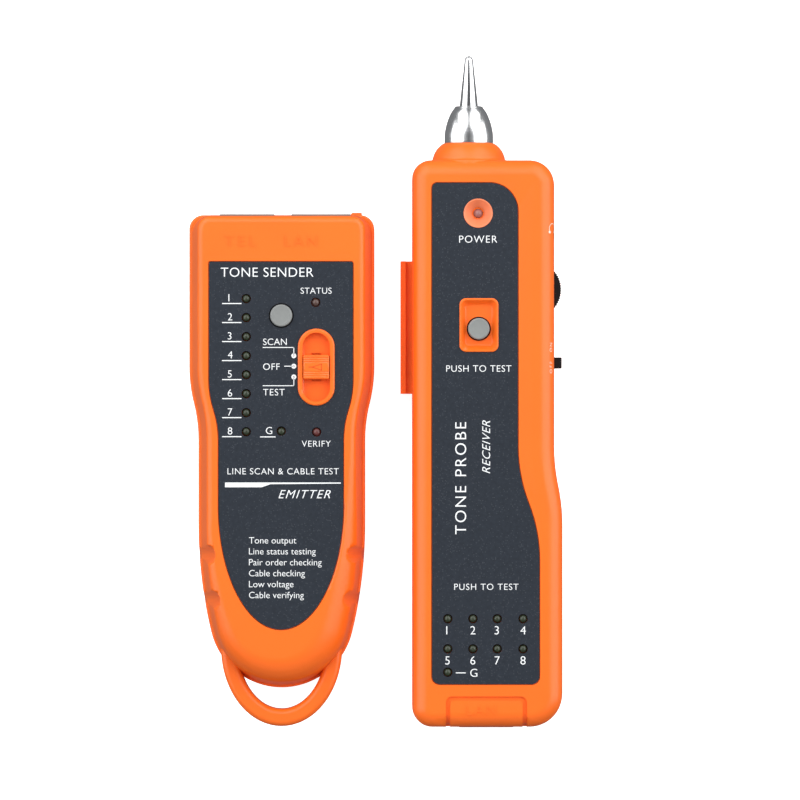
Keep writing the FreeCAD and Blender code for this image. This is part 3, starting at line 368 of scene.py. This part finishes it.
MOULDINGS = {
    "emitter_front_shell": orange, "emitter_back_shell": orange, "emitter_battery_door": orange,
    "emitter_hanging_loop": orange, "emitter_slider_knob": orange, "receiver_front_shell": orange,
    "receiver_back_shell": orange, "receiver_battery_door": orange,
    "emitter_label_panel": slate, "receiver_label_panel": slate,
    "emitter_tel_jack": socket_grey, "emitter_lan_jack": socket_grey, "receiver_lan_jack": socket_grey,
    "volume_wheel": wheel_black, "lamp_switch_knob": wheel_black, "earphone_jack": part_black,
    "emitter_screws": zinc, "receiver_screws": zinc, "emitter_battery": wrap, "receiver_battery": wrap,
}
for node_name, node_finish in MOULDINGS.items():
    moulding(node_name, node_finish)
for node_name, packed in nodes.items():
    packed.data.materials.clear()
    packed.data.materials.append(FINISH_OF_SLOT[slot_of[node_name]])
print(len(MOULDINGS), "mouldings smoothed,", len(nodes) - len(MOULDINGS), "nodes given a finish")


# %% [markdown]
# Turned and domed pieces are surfaces of revolution. The profile is a list of radius and height pairs;
# carried round the axis it gives a grid of points, point (i, j) at radius r(i) turned by angle j. Whole
# arrays do the work, and the two poles are closed by single points.

# %% Surfaces of revolution
def grid_mesh(name, points, closed_ends=True):
    """Mesh of a grid of points (rows, turns, 3) that wraps round its second side."""
    rows, turns, _ = points.shape
    index = np.arange(rows * turns).reshape(rows, turns)
    along = np.roll(index, -1, axis=1)
    quads = np.stack([index[:-1], along[:-1], along[1:], index[1:]], axis=-1).reshape(-1, 4).tolist()
    vertices = points.reshape(-1, 3)
    if closed_ends:
        poles = np.stack([points[0].mean(axis=0), points[-1].mean(axis=0)])
        first, last = rows * turns, rows * turns + 1
        start = np.stack([np.full(turns, first), along[0], index[0]], axis=-1).tolist()
        end = np.stack([np.full(turns, last), index[-1], along[-1]], axis=-1).tolist()
        vertices = np.vstack([vertices, poles])
        quads = quads + start + end
    mesh = bpy.data.meshes.new(name)
    mesh.from_pydata(vertices.tolist(), [], quads)
    work = bmesh.new()
    work.from_mesh(mesh)
    bmesh.ops.remove_doubles(work, verts=work.verts, dist=1e-7)
    bmesh.ops.recalc_face_normals(work, faces=work.faces)
    work.to_mesh(mesh)
    work.free()
    mesh.shade_smooth()
    return mesh


def smooth_profile(corners, steps):
    """Profile through corners as a Catmull-Rom curve: each span bends towards its neighbours."""
    knots = np.array(corners, float)
    padded = np.vstack([2 * knots[0] - knots[1], knots, 2 * knots[-1] - knots[-2]])
    share = np.linspace(0, 1, steps, endpoint=False)[:, None]
    spans = []
    for a, b, c, d in zip(padded, padded[1:], padded[2:], padded[3:]):
        spans.append(0.5 * (2 * b + (c - a) * share + (2 * a - 5 * b + 4 * c - d) * share ** 2
                            + (3 * b - a - 3 * c + d) * share ** 3))
    return np.vstack(spans + [knots[-1:]])


def revolve(profile, centre, axis="z", turns=64):
    """Carry (radius, height) pairs round an upright axis, or round one along y."""
    profile = np.asarray(profile, float)
    angle = np.linspace(0, 2 * math.pi, turns, endpoint=False)
    across = profile[:, :1] * np.cos(angle)
    up = profile[:, :1] * np.sin(angle)
    along = np.repeat(profile[:, 1:2], turns, axis=1)
    order = (across, up, along) if axis == "z" else (across, along, up)
    return np.stack(order, axis=-1) + np.asarray(centre)


def coordinates(mesh):
    """Vertex places of a mesh as an array with one row for each."""
    flat = np.empty(len(mesh.vertices) * 3)
    mesh.vertices.foreach_get("co", flat)
    return flat.reshape(-1, 3)


def set_coordinates(mesh, points):
    """Write an array of places back to a mesh's vertices."""
    mesh.vertices.foreach_set("co", np.asarray(points, np.float32).ravel())
    mesh.update()


def new_piece(name, mesh):
    """An object for a mesh, linked at the origin."""
    piece = bpy.data.objects.new(name, mesh)
    bpy.context.scene.collection.objects.link(piece)
    return piece


def join_meshes(name, meshes):
    """One mesh from several."""
    work = bmesh.new()
    for mesh in meshes:
        work.from_mesh(mesh)
    joined = bpy.data.meshes.new(name)
    work.to_mesh(joined)
    work.free()
    return joined


# %% [markdown]
# Each indicator is a 3 mm lens: a flange, a straight barrel and a dome. Its profile is worked out from
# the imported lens: the barrel's radius, and a quarter circle for the dome.

# %% Lenses
LENS_RADIUS, FLANGE_RADIUS = 1.45 * MM, 1.9 * MM


def lens_mesh(name, x, y, base, top, radius=LENS_RADIUS, flange=FLANGE_RADIUS):
    """A lens turned about its axis: flange, barrel, and a quarter circle for the dome."""
    quarter = np.linspace(0, math.pi / 2, 14)[:-1]
    dome = np.stack([radius * np.cos(quarter), top - radius + radius * np.sin(quarter)], axis=-1)
    foot = [[flange * 0.7, base], [flange, base + 0.05 * MM], [flange, base + 0.8 * MM],
            [radius * 1.03, base + 0.9 * MM], [radius, base + 1.0 * MM]]
    return grid_mesh(name, revolve(np.vstack([foot, dome]), (x, y, 0), turns=40))


def groups(values, gap=1.0 * MM):
    """Spans of sorted values with no gap wider than that between neighbours."""
    ordered = np.unique(values)
    return [(part[0], part[-1]) for part in np.split(ordered, np.nonzero(np.diff(ordered) > gap)[0] + 1)]


def lens_places(name):
    """Centres of a node's separate lenses: rows told apart by gaps along y, then lenses along x."""
    points = coordinates(nodes[name].data)
    places = []
    for low, high in groups(points[:, 1]):
        row = points[(points[:, 1] >= low) & (points[:, 1] <= high)]
        places += [(sum(span) / 2, (low + high) / 2) for span in groups(row[:, 0])]
    return places


def lenses(node_name, material):
    """One lens for each light in a node, joined to one piece that stands in for the node."""
    low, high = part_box(node_name)
    meshes = [lens_mesh(node_name, x, y, low.z + 1.2 * MM, high.z) for x, y in lens_places(node_name)]
    piece = new_piece(node_name + "_lenses", join_meshes(node_name + "_lenses", meshes))
    settle(piece, body_of[node_name], slot_of[node_name], material, node_name)
    print(node_name, len(meshes), "lenses")


lenses("emitter_pair_leds", lens_green)
lenses("receiver_pair_leds", lens_green)
lenses("emitter_status_led", lens_olive)
lenses("emitter_verify_led", lens_red)
lenses("receiver_power_led", lens_power)


# %% [markdown]
# The round buttons are caps with a soft outer edge and a shallow dish for the fingertip.

# %% Buttons
def button(node_name, dish=0.12 * MM):
    """A cap turned about its axis: a flange, a rim eased by a quarter circle, and a shallow cup."""
    low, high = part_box(node_name)
    spot = (low + high) / 2
    flange = (high.x - low.x) / 2
    radius = flange - 1.0 * MM
    shoulder = low.z + 0.8 * MM
    ease = 0.5 * MM
    turn = np.linspace(0, math.pi / 2, 9)
    edge = np.stack([radius - ease + ease * np.cos(turn), high.z - ease + ease * np.sin(turn)], axis=-1)
    reach = np.linspace(0.97, 0.02, 14)
    span = (radius - ease) * reach
    cup = np.stack([span, high.z - dish * (1 - reach ** 2) ** 0.8], axis=-1)
    foot = [[flange * 0.4, low.z], [flange, low.z], [flange, shoulder], [radius, shoulder]]
    mesh = grid_mesh(node_name, revolve(np.vstack([foot, edge, cup]), (spot.x, spot.y, 0), turns=72))
    mesh.set_sharp_from_angle(angle=math.radians(50))
    piece = new_piece(node_name + "_cap", mesh)
    settle(piece, body_of[node_name], slot_of[node_name], key_grey, node_name)


button("emitter_push_button")
button("receiver_test_button")


# %% [markdown]
# The probe's nose is turned metal: a bullet-shaped collar with a small landing at its front, and a
# polished cone that ends in a round point. Lathe work shows as crisp steps, so the profile keeps its
# corners, and only the long curve of the bullet is smoothed.

# %% The metal nose
def nose():
    """The collar and the tip, turned about the probe's axis."""
    low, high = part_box("probe_collar")
    axis_x, axis_z = (low.x + high.x) / 2, (low.z + high.z) / 2
    front, width = high.y, (high.x - low.x) / 2
    seat = front - 12.2 * MM
    curve = smooth_profile([[width, seat + 0.9 * MM], [width * 0.985, seat + 3.6 * MM],
                            [width * 0.90, seat + 6.7 * MM], [width * 0.75, seat + 9.8 * MM],
                            [width * 0.575, front - 0.3 * MM]], 14)
    collar = np.vstack([[[0.3 * MM, low.y], [5.0 * MM, low.y], [5.0 * MM, seat], [width - 0.35 * MM, seat],
                         [width - 0.08 * MM, seat + 0.12 * MM], [width, seat + 0.4 * MM]], curve,
                        [[width * 0.565, front - 0.12 * MM], [width * 0.54, front],
                         [3.25 * MM, front], [3.05 * MM, front - 0.2 * MM], [3.05 * MM, front - 1.0 * MM]]])
    mesh = grid_mesh("probe_collar_turned", revolve(collar, (axis_x, 0, axis_z), "y", 128))
    mesh.set_sharp_from_angle(angle=math.radians(40))
    settle(new_piece("probe_collar_turned", mesh), "receiver", "turned_metal", turned_metal, "probe_collar")

    low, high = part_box("probe_tip")
    point, blunt = high.y, 1.35 * MM
    turn = np.linspace(0.12, math.pi / 2 - 0.03, 14)
    ball = np.stack([blunt * np.cos(turn), point - blunt + blunt * np.sin(turn)], axis=-1)
    taper = smooth_profile([[2.97 * MM, front + 0.5 * MM], [2.45 * MM, front + 5.5 * MM],
                            [1.85 * MM, front + 10.9 * MM], [1.39 * MM, point - blunt - 0.2 * MM]], 10)
    tip = np.vstack([[[0.3 * MM, low.y], [2.98 * MM, low.y], [3.0 * MM, front]], taper, ball])
    mesh = grid_mesh("probe_tip_polished", revolve(tip, (axis_x, 0, axis_z), "y", 96))
    mesh.set_sharp_from_angle(angle=math.radians(50))
    settle(new_piece("probe_tip_polished", mesh), "receiver", "polished_chrome", chrome, "probe_tip")
    print(f"nose from y {seat:.4f} to {point:.4f}, {2 * width / MM:.1f} mm across")


nose()


# %% [markdown]
# Lettering is printed, so it is a film of ink on the label, a few hundredths of a millimetre thick. A
# text curve is turned into a mesh, fitted to the height and length wanted, and laid on the face. Lines
# and dots are flat strips and rings of the same ink, and each unit's print becomes one mesh.

# %% Helpers for printing
INK_THICK = 0.02 * MM


def text_mesh(text, slant=0.0, weight=0.0, spacing=1.0):
    """Letters as a flat mesh, 1 thick, with the font's own proportions."""
    curve = bpy.data.curves.new("print", "FONT")
    curve.body = text
    curve.shear = slant
    curve.offset = weight
    curve.extrude = 0.5
    curve.resolution_u = 5
    curve.space_character = spacing
    lettering = bpy.data.objects.new("print", curve)
    bpy.context.scene.collection.objects.link(lettering)
    bpy.context.view_layer.update()
    mesh = bpy.data.meshes.new_from_object(lettering.evaluated_get(bpy.context.evaluated_depsgraph_get()))
    bpy.data.objects.remove(lettering)
    return mesh


def extent(mesh):
    """Width, height and thickness of a mesh."""
    points = coordinates(mesh)
    return points.max(axis=0) - points.min(axis=0)


CAPITAL = extent(text_mesh("E"))[1]


def words(text, x, y, length, height, slant=0.0, weight=-0.006, upward=False, thick=INK_THICK):
    """Text from x on the baseline y, in mm, with capitals that high, spaced out to a length if given."""
    scale, spacing = height / CAPITAL, 1.0
    if length and len(text) > 1:
        tight, loose = (extent(text_mesh(text, slant, weight, space))[0] for space in (1.0, 2.0))
        spacing = 1 + (length / scale - tight) / (loose - tight)
    mesh = text_mesh(text, slant, weight, spacing)
    points = coordinates(mesh)
    across, tall = (points[:, 0] - points[:, 0].min()) * scale, points[:, 1] * scale
    placed = (x + height - tall, y + across) if upward else (x + across, y + tall)
    set_coordinates(mesh, np.stack([placed[0] * MM, placed[1] * MM, (points[:, 2] + 0.5) * thick], axis=-1))
    return mesh


def strip(points, width=0.36, thick=INK_THICK):
    """Line of ink through points, in mm, as one flat box for each stretch."""
    meshes = []
    for (x0, y0), (x1, y1) in zip(points, points[1:]):
        start, end = np.array([x0, y0], float), np.array([x1, y1], float)
        forward = (end - start) / np.linalg.norm(end - start) * width / 2
        side = np.array([-forward[1], forward[0]])
        box = np.array([start - forward - side, end + forward - side,
                        end + forward + side, start - forward + side])
        meshes.append(slab(box, thick))
    return join_meshes("strip", meshes)


def slab(outline, thick=INK_THICK):
    """Flat outline, in mm, given a thickness."""
    count = len(outline)
    low = np.column_stack([np.asarray(outline) * MM, np.zeros(count)])
    high = low + [0, 0, thick]
    index = np.arange(count)
    after = np.roll(index, -1)
    sides = np.stack([index, after, after + count, index + count], axis=-1).tolist()
    mesh = bpy.data.meshes.new("slab")
    mesh.from_pydata(np.vstack([low, high]).tolist(), [], sides + [list(index[::-1]), list(index + count)])
    return mesh


def ring(x, y, radius, hole=0.0, thick=INK_THICK, start=0.0, end=360.0):
    """Dot or ring of ink, or an arc of one."""
    steps = max(int(abs(end - start) / 10), 4)
    turn = np.radians(np.linspace(start, end, steps + 1))
    rim = np.column_stack([x + radius * np.cos(turn), y + radius * np.sin(turn)])
    if not hole:
        return slab(rim[:-1], thick)
    bore = np.column_stack([x + hole * np.cos(turn), y + hole * np.sin(turn)])
    quads = [slab(np.array([rim[i], rim[i + 1], bore[i + 1], bore[i]]), thick) for i in range(steps)]
    return join_meshes("ring", quads)


def printed(name, meshes, x, z, body, slot="slate_label", material=None):
    """Join pieces of print and lay them on a face at a height."""
    mesh = join_meshes(name, meshes)
    set_coordinates(mesh, coordinates(mesh) + [x, 0, z])
    return settle(new_piece(name, mesh), body, slot, material or white_ink)


# %% [markdown]
# The emitter's label carries a title, the number of each pair beside its light, the slider's three
# positions with leader lines, and a short list of uses. The words are plain descriptions.

# %% The emitter's print
PAIR_TOP, PAIR_PITCH = 30.1, 6.19
DASH = 0.32


def emitter_print():
    """All the ink on the emitter's label as one piece."""
    parts = [words("TONE SENDER", -19.6, 37.2, 30.2, 3.0), words("STATUS", 6.4, 31.7, 10.1, 1.95),
             words("SCAN", -5.8, 15.0, 7.7, 2.1), words("OFF", -5.8, 6.9, 5.4, 2.1),
             words("TEST", -5.8, -1.4, 7.0, 2.1), words("VERIFY", 6.8, -18.1, 9.4, 1.95),
             words("LINE SCAN & CABLE TEST", -17.4, -27.1, 36.2, 2.0),
             words("EMITTER", -0.8, -34.9, 17.0, 2.7, slant=0.35),
             words("G", -4.9, -14.0, 1.75, 2.3), strip([(-6.6, -14.9), (-1.9, -14.9)], DASH)]
    for pair in range(8):
        y = PAIR_TOP - PAIR_PITCH * pair
        parts.append(words(str(pair + 1), -17.3 if pair else -17.1, y - 0.9, 1.45 if pair else 0.9, 2.35))
        parts.append(strip([(-19.0, y - 1.6), (-13.0, y - 1.6)], DASH))
    parts += [strip([(-5.8, 14.2), (4.2, 14.2), (4.2, 11.5)], 0.26), strip([(1.2, 8.1), (4.2, 8.1)], 0.26),
              strip([(-5.8, 1.75), (4.2, 1.75), (4.2, 4.6)], 0.26)]
    parts += [ring(4.2, y, 0.8, 0.28) for y in (11.5, 8.1, 4.6)]
    parts.append(slab([(-18.2, -31.3), (-6.3, -31.3), (-3.4, -30.3), (19.5, -30.1), (19.5, -29.75),
                       (-18.2, -29.75)]))
    uses = ["Tone output", "Line status testing", "Pair order checking", "Cable checking", "Low voltage",
            "Cable verifying"]
    for row, use in enumerate(uses):
        parts.append(words(use, -10.4, -49.6 - 3.56 * row, None, 2.06))
    return printed("emitter_print", parts, emitter_x, label_top, "emitter")


emitter_print()


# %% [markdown]
# The receiver's print is turned to suit the hand: its name runs up the label. The pair numbers sit
# below their lights in two rows.

# %% The receiver's print
LIGHT_COLUMNS = (-11.7, -3.5, 4.4, 12.8)
LIGHT_ROWS = (-74.1, -83.9)


def receiver_print():
    """All the ink on the receiver's label as one piece."""
    parts = [words("POWER", -8.0, 48.3, 12.4, 2.3), words("PUSH TO TEST", -12.2, 6.3, 21.2, 2.1),
             words("PUSH TO TEST", -9.6, -64.7, 20.9, 2.0),
             words("TONE PROBE", -9.3, -46.6, 36.5, 3.6, upward=True),
             words("RECEIVER", -0.5, -26.8, 17.3, 2.6, slant=0.35, upward=True),
             strip([(-8.9, -91.7), (-6.0, -91.7)], DASH), words("G", -4.4, -93.0, 2.3, 2.6)]
    for pair in range(8):
        x, y = LIGHT_COLUMNS[pair % 4], LIGHT_ROWS[pair // 4]
        shift, width = (0.85, 1.7) if pair else (0.5, 1.0)
        parts.append(words(str(pair + 1), x - shift, y - 5.1, width, 2.7))
    return printed("receiver_print", parts, receiver_x, label_top, "receiver")


receiver_print()


# %% [markdown]
# Each button stands in a hole a little wider than itself, and next to no light comes back out of that
# gap. That shade is painted: a thin black ring on the edge of the hole stands for it. It stays with the
# shell, so the button sinks past it.

# %% Painted shade in the gap round each button
def painted_button_shade(node_name, body, slot, radius, height):
    """A black ring just outside a button's rim, painted shade for the gap; radius in mm."""
    spot = middle(node_name)
    # painted shade: this near-black material stands for the shade in the gap, not for a black part
    dark = moulded("gap_" + body, (0.004, 0.004, 0.005), 0.7, Specular_IOR_Level=0.1)
    origin = emitter_x if body == "emitter" else receiver_x
    gap = ring((spot.x - origin) / MM, spot.y / MM, radius + 0.45, radius + 0.06)
    printed(node_name + "_gap", [gap], origin, height, body, slot, dark)


DISH_DEPTH = 1.8 * MM      # the test button stands in a dish, the other one on its label
painted_button_shade("emitter_push_button", "emitter", "slate_label", 3.6, label_top)
painted_button_shade("receiver_test_button", "receiver", "orange_shell", 3.5, shell_face - DISH_DEPTH)
print("two dark gaps, 0.39 mm wide")


# %% [markdown]
# The socket names are raised letters moulded with the shell, so they are the shell's own orange.

# %% Raised lettering
RAISED = 0.2 * MM


def raised_print():
    """The socket names, as letters that stand proud of the shells."""
    parts = [words("TEL", -18.2, 47.2, 10.0, 3.4, thick=RAISED),
             words("LAN", 1.2, 47.2, 10.6, 3.4, thick=RAISED)]
    printed("emitter_raised_names", parts, emitter_x, shell_face, "emitter", "orange_shell", orange)
    parts = [words("LAN", -5.6, -105.4, 9.6, 3.2, thick=RAISED)]
    printed("receiver_raised_name", parts, receiver_x, shell_face, "receiver", "orange_shell", orange)


raised_print()


# %% [markdown]
# Some marks sit on the receiver's rounded edge, beside the lamp switch and the earphone socket. They
# are printed flat first and then wrapped: distance across the mark becomes distance round the edge.

# %% Marks wrapped on the rounded edge
EDGE_RADIUS = 5.0 * MM
FRONT_HALF_WIDTH = 23.0 * MM
PALE_INK = finish("pale_ink", (0.95, 0.72, 0.62), 0.5)
mottle(PALE_INK, (0.95, 0.72, 0.62), 0.03, 0.0008)


def edge_print(name, parts, tilt):
    """Marks drawn with x across and y along, laid round the right edge at a tilt in degrees."""
    mesh = join_meshes(name, parts)
    points = coordinates(mesh)
    edge_x = receiver_x + FRONT_HALF_WIDTH - EDGE_RADIUS
    edge_z = shell_face - EDGE_RADIUS
    turn = math.radians(tilt) - points[:, 0] / EDGE_RADIUS
    reach = EDGE_RADIUS + points[:, 2]
    placed = np.stack([edge_x + reach * np.cos(turn), points[:, 1], edge_z + reach * np.sin(turn)], axis=-1)
    set_coordinates(mesh, placed)
    settle(new_piece(name, mesh), "receiver", "orange_shell", PALE_INK)


switch_y = middle("lamp_switch_knob").y / MM
phones_y = middle("earphone_jack").y / MM
edge_print("lamp_switch_marks", [words("ON", -0.6, switch_y + 3.6, 2.9, 1.25, upward=True),
                                 words("OFF", -0.6, switch_y - 3.4, 3.8, 1.25, upward=True)], 38)
edge_print("earphone_mark", [ring(0, phones_y, 1.8, 1.6, start=-30, end=210),
                             ring(-1.5, phones_y - 1.1, 0.45), ring(1.5, phones_y - 1.1, 0.45)], 28)


# %% [markdown]
# The power light sits in a cone that throws its light forward, and its wall is a paler, pinkish orange.

# %% The cone round the power light
def power_cone():
    """A thin cone wall, turned about the light's axis, with a flat lip round its mouth."""
    pale = moulded("pale_orange", (0.80, 0.22, 0.095), 0.4)
    spot = middle("receiver_power_led")
    reach = np.linspace(0, 1, 12)
    wall = np.stack([1.95 + 2.55 * reach, -2.49 + 2.59 * reach], axis=-1)
    wall = np.vstack([wall, [[4.74, 0.06]]]) * MM
    under = wall[::-1] - [0, 0.05 * MM]
    points = revolve(np.vstack([wall, under, wall[:1]]), (spot.x, spot.y, shell_face), turns=72)
    mesh = grid_mesh("power_cone", points, closed_ends=False)
    settle(new_piece("power_cone", mesh), "receiver", "orange_shell", pale)


power_cone()


# %% [markdown]
# The slider has a small arrow between its ribs, in a deeper shade of the same orange.

# %% The slider's arrow
def slider_arrow():
    """A triangle and a short tail on the top of the slider."""
    deep = moulded("deep_orange", (0.62, 0.05, 0.004), 0.4)
    low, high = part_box("emitter_slider_knob")
    spot = (low + high) / 2
    parts = [strip([(1.7, -1.0), (-1.3, 0.0), (1.7, 1.0), (1.7, -1.0)], 0.22),
             strip([(-2.4, 0.0), (-1.2, 0.0)], 0.22)]
    printed("slider_arrow", parts, 0, 0, "mode_slider", "orange_shell", deep)
    mesh = bpy.data.objects["slider_arrow"].data
    set_coordinates(mesh, coordinates(mesh) + [spot.x, spot.y, high.z - 0.01 * MM])


slider_arrow()


# %% [markdown]
# The table is pale and plain, and the light is soft. Two more stand beyond its far end, so that the
# metal nose, which leans that way, has something bright to mirror. Two fills lift the shadows without a
# highlight of their own. Polished metal shows whatever is round it, so a dark card that only
# reflections can see hangs over the nose and draws the dark line down its middle.

# %% Table and light
def stage_plane(name, width, depth, place, colour, roughness=0.9, glow=0.0):
    """A flat rectangle of the stage."""
    mesh = bpy.data.meshes.new(name)
    corners = [(-width / 2, -depth / 2, 0), (width / 2, -depth / 2, 0), (width / 2, depth / 2, 0),
               (-width / 2, depth / 2, 0)]
    mesh.from_pydata([tuple(Vector(corner) + Vector(place)) for corner in corners], [], [(0, 1, 2, 3)])
    lit = finish(name, colour, roughness, Emission_Color=(1, 1, 1, 1), Emission_Strength=glow)
    mesh.materials.append(lit)
    plane = new_piece(name, mesh)
    return plane


table = stage_plane("table", 6.0, 6.0, (0, 0, -0.0004), (0.9, 0.9, 0.9), glow=0.9)
table.visible_diffuse = table.visible_glossy = False


def softbox(name, place, width, depth, watts, highlight=True):
    lamp = bpy.data.lights.new(name, "AREA")
    lamp.shape = "RECTANGLE"
    lamp.size, lamp.size_y = width, depth
    lamp.energy = watts
    box = bpy.data.objects.new(name, lamp)
    box.location = place
    box.rotation_euler = (Vector((0, 0, 0)) - Vector(place)).to_track_quat("-Z", "Y").to_euler()
    box.visible_glossy = highlight
    bpy.context.scene.collection.objects.link(box)
    return box


def dark_card(name, width, depth, place, shade):
    """A card that only mirror-like reflections see."""
    card = stage_plane(name, width, depth, place, (shade, shade, shade))
    for ray in ("visible_camera", "visible_diffuse", "visible_shadow", "visible_transmission"):
        setattr(card, ray, False)


softbox("left_box", (-0.85, 0.10, 0.55), 1.0, 1.3, 8.5)
softbox("right_box", (0.90, 0.10, 0.55), 1.0, 1.3, 9.5)
nose_x, nose_y = middle("probe_tip").x, middle("probe_collar").y
softbox("far_left_box", (nose_x - 0.53, 0.90, 0.65), 0.80, 1.3, 7)
softbox("far_right_box", (nose_x + 0.53, 0.90, 0.65), 0.80, 1.3, 7)
softbox("near_fill", (0.0, -0.9, 0.6), 1.2, 0.8, 1.5, highlight=False)
softbox("top_fill", (0.0, 0.5, 1.3), 1.0, 0.8, 4, highlight=False)
dark_card("card_over_nose", 0.09, 1.50, (nose_x, nose_y + 0.65, 0.45), 0.20)

world = bpy.data.worlds.new("studio")
world.use_nodes = True
world.node_tree.nodes["Background"].inputs["Color"].default_value = (0.95, 0.97, 1.0, 1)
world.node_tree.nodes["Background"].inputs["Strength"].default_value = 0.20
bpy.context.scene.world = world
bpy.context.scene.view_settings.view_transform = "Standard"


# %% [markdown]
# The view is straight down through a long lens, so both units show their faces square on.

# %% Camera
VIEW_WIDTH = 0.2612       # how much the view spans at the reference height
REFERENCE_HEIGHT = 0.024
CAMERA_HEIGHT = 2.2
VIEW_MIDDLE = (7.9 * MM, -2.9 * MM)
SENSOR_WIDTH = 36         # mm, as lenses are usually described


def camera():
    lens = bpy.data.cameras.new("copy_camera")
    lens.sensor_width = SENSOR_WIDTH
    lens.lens = SENSOR_WIDTH * (CAMERA_HEIGHT - REFERENCE_HEIGHT) / VIEW_WIDTH
    stand = bpy.data.objects.new("copy_camera", lens)
    stand.location = (*VIEW_MIDDLE, CAMERA_HEIGHT)
    bpy.context.scene.collection.objects.link(stand)
    bpy.context.scene.camera = stand
    print(f"lens {lens.lens:.0f} mm at {CAMERA_HEIGHT} m")


camera()
